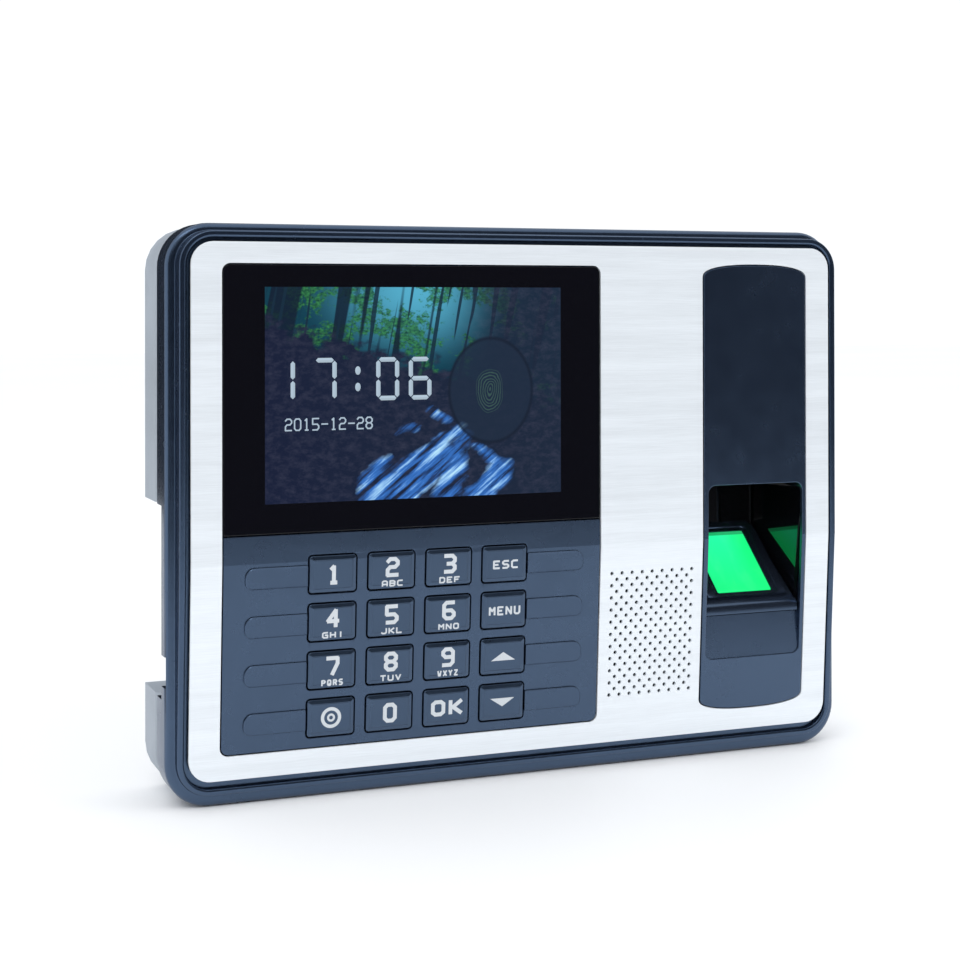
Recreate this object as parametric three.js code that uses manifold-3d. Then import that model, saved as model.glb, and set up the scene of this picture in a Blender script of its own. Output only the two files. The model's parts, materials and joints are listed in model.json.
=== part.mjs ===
// A fingerprint scanner terminal: a wall-hung box with a colour screen, sixteen keys, a speaker
// and an optical fingerprint sensor. Millimetres. X runs to the right, Y to the back, Z up.
// The origin is the centre of the wall plate's back face, so the terminal stands at negative Y.
// Depths below are measured from the front of the face plate towards the wall.
import * as THREE from "three";
import { mergeVertices } from "three/addons/utils/BufferGeometryUtils.js";
import Module from "manifold-3d";

const wasm = await Module();
wasm.setup();

// ---- driving dimensions ------------------------------------------------------------------
const TOTAL_DEPTH = 30; // face plate to wall
const GAP = 0.3; // left between neighbouring pieces
const BODY = { width: 175, height: 132, radius: 10 };
const WALL = 2.2; // plastic wall of both covers
const LEDGE_DEPTH = 5; // the rim that runs round the raised face
const FRONT_END = 14.2; // back edge of the front cover
const REAR_START = 15.8; // front edge of the rear case, a dark groove behind the front cover
const REAR_END = 29.6;

// The face is flat down to a ridge, and below it leans back towards the foot of the terminal.
const RIDGE_Z = -11.1;
const FACE_LEAN = THREE.MathUtils.degToRad(3.57);

const PLATE = { width: 165.5, height: 121.6, radius: 5.2, z: 0.85, thick: 0.8 };
const RAISED = { width: 170.4, height: 127.4, radius: 7.8, z: 0.4, front: 0.6, bevel: 0.7 };
const FRONT_WALL = { front: 1.1, pocket: 2.2, back: 3.4 };

const PANEL = { left: -75.7, right: 18.2, top: 56.8, seam: -4.7, bottom: -54.5, radius: 2 };
const PANEL_FRONT = 0.1;
const PANEL_BACK = 1.9;

// A 3.5 inch screen: its picture is 73.44 x 48.96 and its module 83 x 54.6.
const SCREEN = { x: -29.2, z: 26.85, width: 83, height: 54.6, front: 2.4, back: 5.4 };

// Keys, in the frame of the leaning face: z is measured along it from the ridge.
const KEY = { width: 11.2, height: 8.5, radius: 0.7, bevel: 0.35, proud: 0.5, travel: 0.8 };
const KEY_FLANGE = { width: 13.2, height: 8, front: 2.2, back: 3 };
const KEY_PITCH = { x: 14.2, z: 11.1 };
const FIRST_KEY = { x: -49.85, z: -3.15 };
const KEY_NAMES = [
  ["key_1", "key_2", "key_3", "key_esc"],
  ["key_4", "key_5", "key_6", "key_menu"],
  ["key_7", "key_8", "key_9", "key_up"],
  ["key_power", "key_0", "key_ok", "key_down"],
];
const TAB = { length: 14.7, height: 5, drop: 0.2, proud: 0.45 }; // beside each row of keys

const GRILLE = {
  left: 21.35,
  top: -18.3,
  columns: 9,
  rows: 21, // every second row is shifted by half a pitch and has one hole less
  pitchX: 2.75,
  stepZ: 1.5,
  radius: 0.45,
};
const SPEAKER_Z = -21.6;

// The sensor column runs from top to bottom, with ends that bow out by its bulge.
const COLUMN = { x: 61.05, width: 28.9, top: 57.1, bottom: -54.4, bulge: 2.9, front: -0.2, back: 0.8 };
const COLUMN_STEPS = 16;
const COLUMN_POWER = 2 / 2.4; // 1 would make each end half an ellipse, and less makes it squarer
const RECESS = { left: 47.8, right: 74.8, top: 2.1, bottom: -41.5, radius: 2, back: 21.9, wall: 1 };
const PLATEN = { x: 61.05, width: 15.4, length: 20, thick: 3, near: [4.9, -25.5], border: 0.4 };
const PLATEN_SLOPE = THREE.MathUtils.degToRad(41.6);
const NOSE = { front: 1.8, bottom: -30.6 };
const RAMP = { top: 2.5, bottom: 2, thick: 1 }; // depths of its face, which ends nearly flush

// The port bay: a notch in the left side, open to the back.
const BAY = { top: 2, bottom: -41.8, inner: -76, rimBack: 9.3, front: 13, wall: 1.5 };
const USB = { left: -84.8, z: -35.2, width: 7.5, front: 5.8, back: 9.7, length: 9, wall: 0.5 };
const JACK = { z: -12, width: 9, front: 11.7, back: 22.5, length: 14, bore: 3.2, pin: 1 };

const BOARD = { left: -73.8, right: 18, bottom: -57, top: 60, front: 10, back: 11.4 };
const BOARD_SCREWS = [[-66, 57.2], [10, 57.2], [-66, -54], [12, -54]];
const MAIN_CHIP = { x: -40, z: 10, width: 18, height: 18, thick: 1.6 };
const MEMORY_CHIP = { x: -40, z: -12, width: 12, height: 18, thick: 1.2 };
const BATTERY = { x: -10, z: 38 };
const BUZZER = { x: 0, z: -40 };
const SENSOR_BOARD = { left: 49.5, right: 72.7, front: 22.3, back: 23.7, bottom: -29.8, top: -11.4 };
const CASE_SCREW = { x: 79, z: 57, shoulder: 20 };

const BRACKET = { width: 116, height: 84, radius: 3, thick: 1.2, clearance: 0.5 };
const HOOK = { x: 30, z: 18, width: 10, sheet: 1.5, rise: 6.5, tip: 24.2 };
const LIFT = 8; // how far the terminal slides up before it comes off its hooks
const LOCK = { width: 16, lip: -63.6, ceiling: -61.5, front: 18, depth: 23.5 };

// A flat cable leaves the screen's back, turns over and comes down to the main board.
const SCREEN_LEAD = [[6, 8], [6, 20], [6.5, 23], [7.8, 24.2], [9.1, 23], [9.6, 20], [9.6, 12]];

// ---- materials -----------------------------------------------------------------------------
const finish = (color, roughness, metalness = 0) => () =>
  new THREE.MeshStandardMaterial({ color, roughness, metalness });
const SATIN_BLACK = finish(0x2b3547, 0.38);
const TEXTURED_GREY = finish(0x6f7684, 0.75);
const BRUSHED_SILVER = finish(0xe6ebf1, 0.35, 0.7);
const GLOSS_BLACK = finish(0x07080c, 0.08);
const SLATE_KEYS = finish(0x262c39, 0.42);
const GREEN_GLASS = finish(0x22ff8a, 0.15);
const RUBBER = finish(0x54585e, 0.85);
const CIRCUIT_GREEN = finish(0x14573a, 0.5);
const STEEL = finish(0xb9bdc2, 0.35, 0.9);
const BLACK_PLASTIC = finish(0x15161a, 0.5);
const AMBER_FILM = finish(0xc78a33, 0.4);

// ---- shapes and solids -----------------------------------------------------------------------
const SEGMENTS = 3; // a rounded corner has twice as many straight pieces, a disc eight times

// An outline in X and Z with its own radius for the top and the bottom corners.
function panel(left, right, bottom, top, topRadius, bottomRadius = topRadius) {
  const s = new THREE.Shape();
  const corner = (x, z, radius, quarter) => {
    if (radius) s.absarc(x, z, radius, (quarter * Math.PI) / 2, ((quarter + 1) * Math.PI) / 2);
  };
  s.moveTo(left + bottomRadius, bottom);
  s.lineTo(right - bottomRadius, bottom);
  corner(right - bottomRadius, bottom + bottomRadius, bottomRadius, -1);
  s.lineTo(right, top - topRadius);
  corner(right - topRadius, top - topRadius, topRadius, 0);
  s.lineTo(left + topRadius, top);
  corner(left + topRadius, top - topRadius, topRadius, 1);
  s.lineTo(left, bottom + bottomRadius);
  corner(left + bottomRadius, bottom + bottomRadius, bottomRadius, 2);
  return s;
}

const centred = (width, height, radius, x = 0, z = 0) =>
  panel(x - width / 2, x + width / 2, z - height / 2, z + height / 2, radius);

const disc = (x, z, radius) => new THREE.Shape().absarc(x, z, radius, 0, 2 * Math.PI);

function solidOf(geometry) {
  const bare = geometry.index ? geometry.toNonIndexed() : geometry.clone();
  bare.deleteAttribute("normal");
  bare.deleteAttribute("uv");
  const merged = mergeVertices(bare, 1e-4);
  const vertProperties = merged.attributes.position.array;
  const triVerts = new Uint32Array(merged.index.array);
  return new wasm.Manifold(new wasm.Mesh({ numProp: 3, vertProperties, triVerts }));
}

function geometryOf(made) {
  const { numProp, numVert, vertProperties, triVerts } = made.getMesh();
  const positions = new Float32Array(numVert * 3);
  for (let i = 0; i < numVert; i++)
    positions.set(vertProperties.subarray(i * numProp, i * numProp + 3), i * 3);
  const geometry = new THREE.BufferGeometry();
  geometry.setAttribute("position", new THREE.BufferAttribute(positions, 3));
  geometry.setIndex(new THREE.BufferAttribute(triVerts, 1));
  return geometry;
}

// A shape in X and Z carried from one depth to another. A bevel slopes in at both ends.
function slab(shape, front, back, { bevel = 0, segments = SEGMENTS } = {}) {
  const geometry = new THREE.ExtrudeGeometry(shape, {
    depth: back - front - 2 * bevel,
    bevelEnabled: bevel > 0,
    bevelThickness: bevel,
    bevelSize: bevel,
    bevelOffset: -bevel,
    bevelSegments: 1,
    curveSegments: segments,
  });
  geometry.translate(0, 0, bevel);
  geometry.rotateX(Math.PI / 2);
  geometry.translate(0, back - TOTAL_DEPTH, 0);
  return solidOf(geometry);
}

const box = (left, right, front, back, bottom, top) =>
  slab(panel(left, right, bottom, top, 0), front, back);

// An outline in depth and Z carried from one X to another.
function sideSlab(outline, left, right) {
  const shape = new THREE.Shape(outline.map(([depth, z]) => new THREE.Vector2(depth, z)));
  const geometry = new THREE.ExtrudeGeometry(shape, { depth: right - left, bevelEnabled: false });
  geometry.applyMatrix4(
    new THREE.Matrix4().set(0, 0, 1, left, 1, 0, 0, -TOTAL_DEPTH, 0, 1, 0, 0, 0, 0, 0, 1),
  );
  return solidOf(geometry);
}

// A round piece on an axis along Y: each point is its radius and its depth.
function turned(profile, x, z, sides) {
  const points = profile.map(([radius, depth]) => new THREE.Vector2(radius, depth - TOTAL_DEPTH));
  const geometry = new THREE.LatheGeometry(points, sides);
  geometry.translate(x, 0, z);
  return solidOf(geometry);
}

const union = (...solids) => solids.reduce((all, one) => all.add(one));
const cut = (from, ...solids) => solids.reduce((left, one) => left.subtract(one), from);

// Leans everything below the ridge back by FACE_LEAN, so that a flat solid follows the face.
function bend(flat) {
  const slope = Math.tan(FACE_LEAN);
  const [upper, lower] = flat.splitByPlane([0, 0, 1], RIDGE_Z);
  const lean = [1, 0, 0, 0, 0, 1, 0, 0, 0, -slope, 1, 0, 0, RIDGE_Z * slope, 0, 1];
  return upper.add(lower.transform(lean));
}

// How far the face has leaned back at this height.
const leanAt = (z) => Math.max(0, RIDGE_Z - z) * Math.tan(FACE_LEAN);

// The leaning face has a frame of its own, with its origin on the ridge.
const leaning = new THREE.Group();
leaning.position.set(0, -TOTAL_DEPTH, RIDGE_Z);
leaning.rotation.x = FACE_LEAN;
leaning.updateMatrix();

// Solids in that frame are built about depth 0 there, and this carries them into the part's frame.
const toLeaning = new THREE.Matrix4().makeTranslation(0, TOTAL_DEPTH, 0);
const onLeaningFace = (made) =>
  made.transform(leaning.matrix.clone().multiply(toLeaning).elements);

const terminal = new THREE.Group();
terminal.add(leaning);

function add(name, made, material, group = terminal) {
  const mesh = new THREE.Mesh(geometryOf(made), material());
  mesh.name = name;
  if (group === leaning) mesh.position.y = TOTAL_DEPTH;
  group.add(mesh);
}

// ---- outlines that more than one piece uses ----------------------------------------------------
const around = (outline, grow) => ({
  left: outline.left - grow,
  right: outline.right + grow,
  bottom: outline.bottom - grow,
  top: outline.top + grow,
});

// The sensor column: straight sides, and ends that bow outwards and turn into them roundly.
function columnShape(grow = 0) {
  const half = COLUMN.width / 2 + grow;
  const bulge = COLUMN.bulge + grow;
  const points = [];
  for (const [z, side] of [[COLUMN.bottom + COLUMN.bulge, -1], [COLUMN.top - COLUMN.bulge, 1]]) {
    for (let i = 0; i <= COLUMN_STEPS; i++) {
      const turn = (Math.PI * i) / COLUMN_STEPS;
      const across = side * Math.sign(Math.cos(turn)) * Math.abs(Math.cos(turn)) ** COLUMN_POWER;
      const up = side * Math.sin(turn) ** COLUMN_POWER;
      points.push(new THREE.Vector2(COLUMN.x + half * across, z + bulge * up));
    }
  }
  return new THREE.Shape(points);
}

const keyCentres = KEY_NAMES.flatMap((row, r) =>
  row.map((name, c) => ({
    name,
    x: FIRST_KEY.x + c * KEY_PITCH.x,
    z: FIRST_KEY.z - r * KEY_PITCH.z,
  })),
);

const corners = [[-1, 1], [1, 1], [-1, -1], [1, -1]];
const caseScrews = corners.map(([x, z]) => [x * CASE_SCREW.x, z * CASE_SCREW.z]);

// ---- the face -----------------------------------------------------------------------------------
function facePlate() {
  const shape = centred(PLATE.width, PLATE.height, PLATE.radius, 0, PLATE.z);
  shape.holes.push(panel(PANEL.left, PANEL.right, PANEL.bottom, PANEL.top, PANEL.radius));
  shape.holes.push(columnShape(GAP));
  for (let row = 0; row < GRILLE.rows; row++) {
    const odd = row % 2;
    for (let column = 0; column < GRILLE.columns - odd; column++) {
      const x = GRILLE.left + (column + odd / 2) * GRILLE.pitchX;
      const hole = new THREE.Path();
      for (let i = 0; i < 6; i++) {
        const turn = (i * Math.PI) / 3;
        const at = [x + GRILLE.radius * Math.cos(turn), GRILLE.top - row * GRILLE.stepZ];
        hole[i ? "lineTo" : "moveTo"](at[0], at[1] + GRILLE.radius * Math.sin(turn));
      }
      hole.closePath();
      shape.holes.push(hole);
    }
  }
  return bend(slab(shape, 0, PLATE.thick));
}

function displayWindow() {
  const { left, right, top, seam, radius } = PANEL;
  const shape = panel(left + GAP, right - GAP, seam + GAP / 2, top - GAP, radius - GAP, 0.3);
  return slab(shape, PANEL_FRONT, PANEL_BACK);
}

function keyHole({ x, z }) {
  const shape = centred(KEY.width + 2 * GAP, KEY.height + 2 * GAP, KEY.radius + GAP, x, z);
  return onLeaningFace(slab(shape, -3, 6, { segments: 1 }));
}

// A low tab runs from the keys towards each side, beside every row.
function tabSolids() {
  const first = keyCentres[0];
  const last = keyCentres[3];
  const reach = KEY.width / 2 + GAP;
  return KEY_NAMES.flatMap((_, row) => {
    const z = FIRST_KEY.z - row * KEY_PITCH.z - TAB.drop;
    const spans = [
      [first.x - reach - TAB.length, first.x - reach],
      [last.x + reach, last.x + reach + TAB.length],
    ];
    return spans.map(([left, right]) => {
      const shape = panel(left, right, z - TAB.height / 2, z + TAB.height / 2, 1.6);
      return onLeaningFace(slab(shape, -TAB.proud, PANEL_FRONT + 1, { segments: 2 }));
    });
  });
}

function keypadPanel() {
  const { left, right, seam, bottom, radius } = PANEL;
  const shape = panel(left + GAP, right - GAP, bottom + GAP, seam - GAP / 2, 0.3, radius - GAP);
  const flat = slab(shape, PANEL_FRONT, PANEL_BACK);
  return cut(union(bend(flat), ...tabSolids()), ...keyCentres.map(keyHole));
}

// A key cap with a flange behind the panel that keeps it in.
function key({ x, z }) {
  const cap = slab(centred(KEY.width, KEY.height, KEY.radius, x, z), -KEY.proud, 2.6, {
    bevel: KEY.bevel,
    segments: 1,
  });
  const { width, height, front, back } = KEY_FLANGE;
  return union(cap, slab(centred(width, height, 0, x, z), front, back));
}

// ---- the front cover ------------------------------------------------------------------------------
function frontCover() {
  const rimShape = centred(BODY.width, BODY.height, BODY.radius);
  const rim = slab(rimShape, LEDGE_DEPTH, FRONT_END + 1, { bevel: 0.8 });
  const raisedShape = centred(RAISED.width, RAISED.height, RAISED.radius, 0, RAISED.z);
  const raisedFace = slab(raisedShape, RAISED.front, 8, { bevel: RAISED.bevel });
  const roomShape = centred(BODY.width - 2 * WALL, BODY.height - 2 * WALL, BODY.radius - WALL);
  const sideRoom = slab(roomShape, LEDGE_DEPTH + WALL + 0.3, 20);
  const faceRoom = slab(centred(PLATE.width, PLATE.height, 5, 0, PLATE.z), FRONT_WALL.back, 11);
  const plateSeat = slab(
    centred(PLATE.width + 2 * GAP, PLATE.height + 2 * GAP, PLATE.radius + GAP, 0, PLATE.z),
    -1,
    FRONT_WALL.front,
  );
  const panelSeat = slab(
    panel(PANEL.left, PANEL.right, PANEL.bottom, PANEL.top, PANEL.radius),
    0,
    FRONT_WALL.pocket,
  );
  const shell = cut(
    union(rim, bend(raisedFace)),
    box(-100, 100, FRONT_END, 20, -80, 80),
    sideRoom,
    ...[faceRoom, plateSeat, panelSeat].map(bend),
  );
  const post = (x, z, radius, back) =>
    slab(disc(x, z, radius), FRONT_WALL.back - 0.6 + leanAt(z), back, { segments: 5 });
  const posts = caseScrews.map(([x, z]) => post(x, z, 3, FRONT_END));
  const bosses = BOARD_SCREWS.map(([x, z]) => post(x, z, 2.2, BOARD.front - GAP));
  const pilots = [
    ...caseScrews.map(([x, z]) => slab(disc(x, z, 1.6), 7.5, 20, { segments: 4 })),
    ...BOARD_SCREWS.map(([x, z]) => slab(disc(x, z, 1.2), 7.6, 20, { segments: 3 })),
  ];
  const screenOpening = slab(
    centred(SCREEN.width + 2 * GAP, SCREEN.height + 2 * GAP, 0, SCREEN.x, SCREEN.z),
    0,
    9,
  );
  const keyRoom = { x: KEY.width / 2 + 2, left: keyCentres[0].x, right: keyCentres[3].x };
  const keyOpening = box(keyRoom.left - keyRoom.x, keyRoom.right + keyRoom.x, 0, 6, -53.6, -8.4);
  const grilleEnd = GRILLE.left + (GRILLE.columns - 1) * GRILLE.pitchX;
  const speakerOpening = box(GRILLE.left - 1.1, grilleEnd + 1.1, 0, 6, -49.6, GRILLE.top + 1.2);
  const trimRoom = around(RECESS, RECESS.wall + GAP);
  const columnOpening = box(trimRoom.left, trimRoom.right, 0, 6, trimRoom.bottom, trimRoom.top);
  const bayNotch = box(-95, -83, BAY.rimBack, 20, BAY.bottom, BAY.top);
  const usbSlot = box(-95, -84, 5.7, BAY.rimBack + 1, USB.z - 3.5, USB.z + 3.5);
  const usbRoom = USB.width / 2 + GAP;
  const usbSeat = box(-85.1, -75, USB.front - GAP, BAY.rimBack + 1, USB.z - usbRoom, USB.z + usbRoom);
  return cut(
    union(shell, ...posts, ...bosses),
    ...pilots,
    screenOpening,
    ...[keyOpening, speakerOpening, columnOpening].map(bend),
    bayNotch,
    usbSlot,
    usbSeat,
  );
}

// ---- the fingerprint sensor -------------------------------------------------------------------------
// The platen's slope, as a point so far along it and so far above it.
function onSlope(along, above) {
  const [depth, z] = PLATEN.near;
  const [c, s] = [Math.cos(PLATEN_SLOPE), Math.sin(PLATEN_SLOPE)];
  return [depth + along * c - above * s, z + along * s + above * c];
}

// A block on the slope, as large as the platen or larger all round.
function onPlaten(low, high, grow = 0) {
  const far = PLATEN.length + grow;
  const outline = [onSlope(-grow, low), onSlope(far, low), onSlope(far, high), onSlope(-grow, high)];
  const half = PLATEN.width / 2 + grow;
  return sideSlab(outline, PLATEN.x - half, PLATEN.x + half);
}

const slopeZ = (depth, above) =>
  PLATEN.near[1] + (depth - PLATEN.near[0]) * Math.tan(PLATEN_SLOPE) + above / Math.cos(PLATEN_SLOPE);

// The dark column, with a tray behind its recess and a ramp below the sensor's nose.
function sensorTrim() {
  const { left, right, bottom, top } = RECESS;
  const face = slab(columnShape(), COLUMN.front, COLUMN.back);
  const opening = slab(panel(left, right, bottom, top, RECESS.radius), -3, 4);
  const outer = around(RECESS, RECESS.wall);
  const floor = NOSE.bottom - 0.3;
  const tray = box(outer.left, outer.right, 0.4, RECESS.back + RECESS.wall, floor - 1, outer.top);
  const room = box(left, right, -3, RECESS.back, floor, top);
  const behindHousing = box(left, right, RECESS.back - 1, 30, floor, slopeZ(RECESS.back, 0) - 0.6);
  const mouth = box(left, right, -3, RAMP.top - 0.1, floor - 2, floor + 0.1);
  const rampFace = [[RAMP.top, floor], [RAMP.bottom, bottom - 0.4]];
  const rampBack = [[RAMP.bottom + RAMP.thick, bottom - 0.4], [RAMP.top + RAMP.thick, floor]];
  const ramp = sideSlab([...rampFace, ...rampBack], left - 0.4, right + 0.4);
  const rampSides = [left - RECESS.wall, right].map((x) =>
    bend(box(x, x + RECESS.wall, 0.6, 2.6, bottom - 0.6, NOSE.bottom)),
  );
  const foot = box(outer.left, outer.right, 1.9, 3.4, outer.bottom, bottom - 0.05);
  return cut(
    union(bend(cut(face, opening)), cut(tray, room, mouth), ramp, ...rampSides, foot),
    behindHousing,
  );
}

function sensorHousing() {
  const back = RECESS.back - GAP;
  const crown = PLATEN.border;
  const outline = [
    [NOSE.front, NOSE.bottom],
    [back, NOSE.bottom],
    [back, slopeZ(back, crown)],
    [NOSE.front, slopeZ(NOSE.front, crown)],
  ];
  const block = sideSlab(outline, RECESS.left + GAP, RECESS.right - GAP);
  const seat = onPlaten(-PLATEN.thick - GAP, 4, GAP);
  const lightPath = box(PLATEN.x - 5, PLATEN.x + 5, 13, 30, -27, -20);
  return cut(block, seat, lightPath);
}


function sensorBoard() {
  const { left, right, front, back, bottom, top } = SENSOR_BOARD;
  return box(left, right, front, back, bottom, top);
}

// ---- what is inside ---------------------------------------------------------------------------------
function lcdModule() {
  const shape = centred(SCREEN.width, SCREEN.height, 0, SCREEN.x, SCREEN.z);
  return slab(shape, SCREEN.front, SCREEN.back);
}

// The rubber sheet and the board behind the keys have one outline.
const keypadSheet = () => {
  const [left, right] = [keyCentres[0].x - 11, keyCentres[3].x + 11];
  return panel(left, right, keyCentres[15].z - 5.9, keyCentres[0].z + 5.2, 1);
};

function keypadMembrane() {
  const sheet = slab(keypadSheet(), 4.5, 5.3);
  const domes = keyCentres.map(({ x, z }) => slab(disc(x, z, 2.6), 3.95, 4.9, { segments: 3 }));
  return union(sheet, ...domes);
}

function speaker() {
  const x = GRILLE.left + ((GRILLE.columns - 1) * GRILLE.pitchX) / 2;
  const cone = [[0, 4.6], [9, 3.9], [11.6, 3.7], [13.5, 3.7]];
  const basket = [[13.5, 4.9], [8, 7], [8, 8.4], [0, 8.4]];
  return turned([...cone, ...basket], x, SPEAKER_Z, 20);
}

function mainBoard() {
  const { left, right, bottom, top, front, back } = BOARD;
  const sheet = box(left, right, front, back, bottom, top);
  const tongue = box(-83.3, left + 1, front, back, USB.z - 5.5, USB.z + 5.5);
  const holes = BOARD_SCREWS.map(([x, z]) => slab(disc(x, z, 1.3), 5, 15, { segments: 3 }));
  return cut(union(sheet, tongue), ...holes);
}

function usbPort() {
  const { left, z, width, front, back, length, wall } = USB;
  const half = width / 2;
  const shell = box(left, left + length, front, back, z - half, z + half);
  const inside = [front + wall, back - wall, z - half + wall, z + half - wall];
  const mouth = box(left - 1, left + 6.5, ...inside);
  const tongue = box(left + 0.8, left + 8, 7.4, 8.2, z - 2.4, z + 2.4);
  return union(cut(shell, mouth), tongue);
}

// A barrel socket whose mouth faces left, into the port bay.
function dcJack() {
  const left = BAY.inner + 0.1;
  const half = JACK.width / 2;
  const body = box(left, left + JACK.length, JACK.front, JACK.back, JACK.z - half, JACK.z + half);
  const middle = (JACK.front + JACK.back) / 2 - TOTAL_DEPTH;
  const along = (radius, from, to, sides) => {
    const rod = new THREE.CylinderGeometry(radius, radius, to - from, sides);
    rod.rotateZ(Math.PI / 2);
    rod.translate((from + to) / 2, middle, JACK.z);
    return solidOf(rod);
  };
  const bore = along(JACK.bore, left - 1, left + 9, 14);
  return union(cut(body, bore), along(JACK.pin, left + 1, left + 10, 8));
}

// A chip on the main board's back.
function chip({ x, z, width, height, thick }) {
  const front = BOARD.back + GAP;
  return box(x - width / 2, x + width / 2, front, front + thick, z - height / 2, z + height / 2);
}

// A flat cable: a strip of even thickness along a route in depth and Z.
function ribbon(route, left, right, thick = 0.4) {
  const points = route.map(([depth, z]) => new THREE.Vector2(depth, z));
  const offset = (side) =>
    points.map((point, i) => {
      const before = points[Math.max(i - 1, 0)];
      const after = points[Math.min(i + 1, points.length - 1)];
      const along = after.clone().sub(before).normalize();
      return [point.x - (side * along.y * thick) / 2, point.y + (side * along.x * thick) / 2];
    });
  return sideSlab([...offset(-1), ...offset(1).reverse()], left, right);
}

const batteryHolder = () =>
  turned(
    [[0, 11.7], [11.4, 11.7], [11.4, 16], [10.3, 16], [10.3, 12.7], [0, 12.7]],
    BATTERY.x,
    BATTERY.z,
    16,
  );

const clockBattery = () =>
  turned([[0, 13], [10, 13], [10, 15.6], [9.2, 16.2], [0, 16.2]], BATTERY.x, BATTERY.z, 16);

const buzzer = () =>
  turned([[0, 11.7], [6, 11.7], [6, 18], [1.2, 18], [1.2, 17], [0, 17]], BUZZER.x, BUZZER.z, 14);

// ---- the rear case ---------------------------------------------------------------------------
function rearCase() {
  const shape = centred(BODY.width - 0.8, BODY.height - 0.8, BODY.radius);
  const shell = slab(shape, REAR_START, REAR_END + 2, { bevel: 2 });
  const collar = slab(centred(171.6, 128.6, 8.4), FRONT_END + GAP, REAR_START + 3);
  const tongue = slab(centred(170, 127, 7.4), 11.5, REAR_START + 3);
  const room = slab(centred(167.2, 124.2, 6), 0, 26.4);
  const casing = cut(union(shell, collar, tongue), room, box(-100, 100, REAR_END, 40, -80, 80));

  // walls of the port bay, with a skirt that closes the side behind the front cover's strip
  const bayLow = BAY.bottom - BAY.wall;
  const bayHigh = BAY.top + BAY.wall;
  const bayBlock = box(-85, BAY.inner + BAY.wall, BAY.front - 1.3, REAR_END, bayLow, bayHigh);
  const bayRoom = box(-95, BAY.inner, BAY.front, 40, BAY.bottom, BAY.top);
  const skirt = box(-85, -83.7, USB.back + GAP, BAY.front, BAY.bottom, BAY.top);
  const jackRoom = JACK.width / 2 + 0.4;
  const [jackLow, jackHigh] = [JACK.z - jackRoom, JACK.z + jackRoom];
  const jackHole = box(BAY.inner - 0.01, -70, JACK.front - 0.4, JACK.back + 0.4, jackLow, jackHigh);

  // posts for the case screws
  const posts = caseScrews.map(([x, z]) => slab(disc(x, z, 4.2), FRONT_END + GAP, 28, { segments: 5 }));
  const wells = caseScrews.flatMap(([x, z]) => [
    slab(disc(x, z, 3.2), CASE_SCREW.shoulder, 40, { segments: 6 }),
    slab(disc(x, z, 1.7), 0, 40, { segments: 4 }),
  ]);

  // the foot notch that the bracket's lip sits in, with a boss for the lock screw
  const half = LOCK.width / 2 + 2;
  const notchBlock = box(-half - WALL, half + WALL, LOCK.front - WALL, 28, -65, LOCK.ceiling + 1.6);
  const notch = box(-half, half, LOCK.front, 40, -80, LOCK.ceiling);
  const lockBoss = box(-3.2, 3.2, LOCK.depth - 3.2, LOCK.depth + 3.2, LOCK.ceiling, -53);
  const lockPilot = box(-1.6, 1.6, LOCK.depth - 1.6, LOCK.depth + 1.6, -80, -50);

  // the shallow seat of the wall bracket, and the slots that its hooks enter
  const { width, height, radius, clearance } = BRACKET;
  const seatDepth = REAR_END - 1.2;
  const seatHalf = { width: width / 2 + clearance, height: height / 2 + clearance };
  const seat = slab(
    panel(-seatHalf.width, seatHalf.width, -seatHalf.height - LIFT, seatHalf.height, radius),
    seatDepth,
    40,
  );
  const channel = box(-LOCK.width / 2 - clearance, LOCK.width / 2 + clearance, seatDepth, 40, -80, -30);
  const slotTop = HOOK.z + HOOK.sheet + GAP;
  const slots = [-HOOK.x, HOOK.x].map((x) =>
    box(x - HOOK.width / 2 - 0.6, x + HOOK.width / 2 + 0.6, 20, 40, slotTop - LIFT - 2.2, slotTop),
  );
  return cut(
    union(casing, bayBlock, skirt, ...posts, notchBlock, lockBoss),
    bayRoom,
    jackHole,
    ...wells,
    notch,
    lockPilot,
    seat,
    channel,
    ...slots,
  );
}

// ---- the wall bracket: a steel plate with two hooks and a lip for the lock screw -----------------
function wallPlate() {
  const { width, height, radius, thick } = BRACKET;
  const shape = centred(width, height, radius);
  for (const [x, z] of corners) shape.holes.push(disc(x * 44, z * 30, 2.3));
  shape.holes.push(centred(24, 12, 3, 0, 27));
  const front = TOTAL_DEPTH - thick;
  const sheet = slab(shape, front, TOTAL_DEPTH, { segments: 4 });
  const hooks = [-HOOK.x, HOOK.x].flatMap((x) => {
    const [left, right] = [x - HOOK.width / 2, x + HOOK.width / 2];
    return [
      box(left, right, HOOK.tip, front + 0.2, HOOK.z, HOOK.z + HOOK.sheet),
      box(left, right, HOOK.tip, HOOK.tip + 1.2, HOOK.z, HOOK.z + HOOK.rise),
    ];
  });
  const half = LOCK.width / 2;
  const tongue = box(-half, half, front, TOTAL_DEPTH, LOCK.lip, -40);
  const lip = box(-half, half, LOCK.front + 1.5, TOTAL_DEPTH, LOCK.lip, LOCK.lip + thick);
  const hole = box(-1.7, 1.7, LOCK.depth - 1.7, LOCK.depth + 1.7, -70, -60);
  return cut(union(sheet, ...hooks, tongue, lip), hole);
}

// A pan-head screw driven from the back: its head's radius, and the depths of its tip, seat and top.
function screw(x, z, head, shank, tip, seat, top) {
  const shaft = [[0, tip], [shank, tip + 1], [shank, seat]];
  const cap = [[head, seat], [head, top - 0.6], [head * 0.7, top], [0, top]];
  return turned([...shaft, ...cap], x, z, 10);
}

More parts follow.
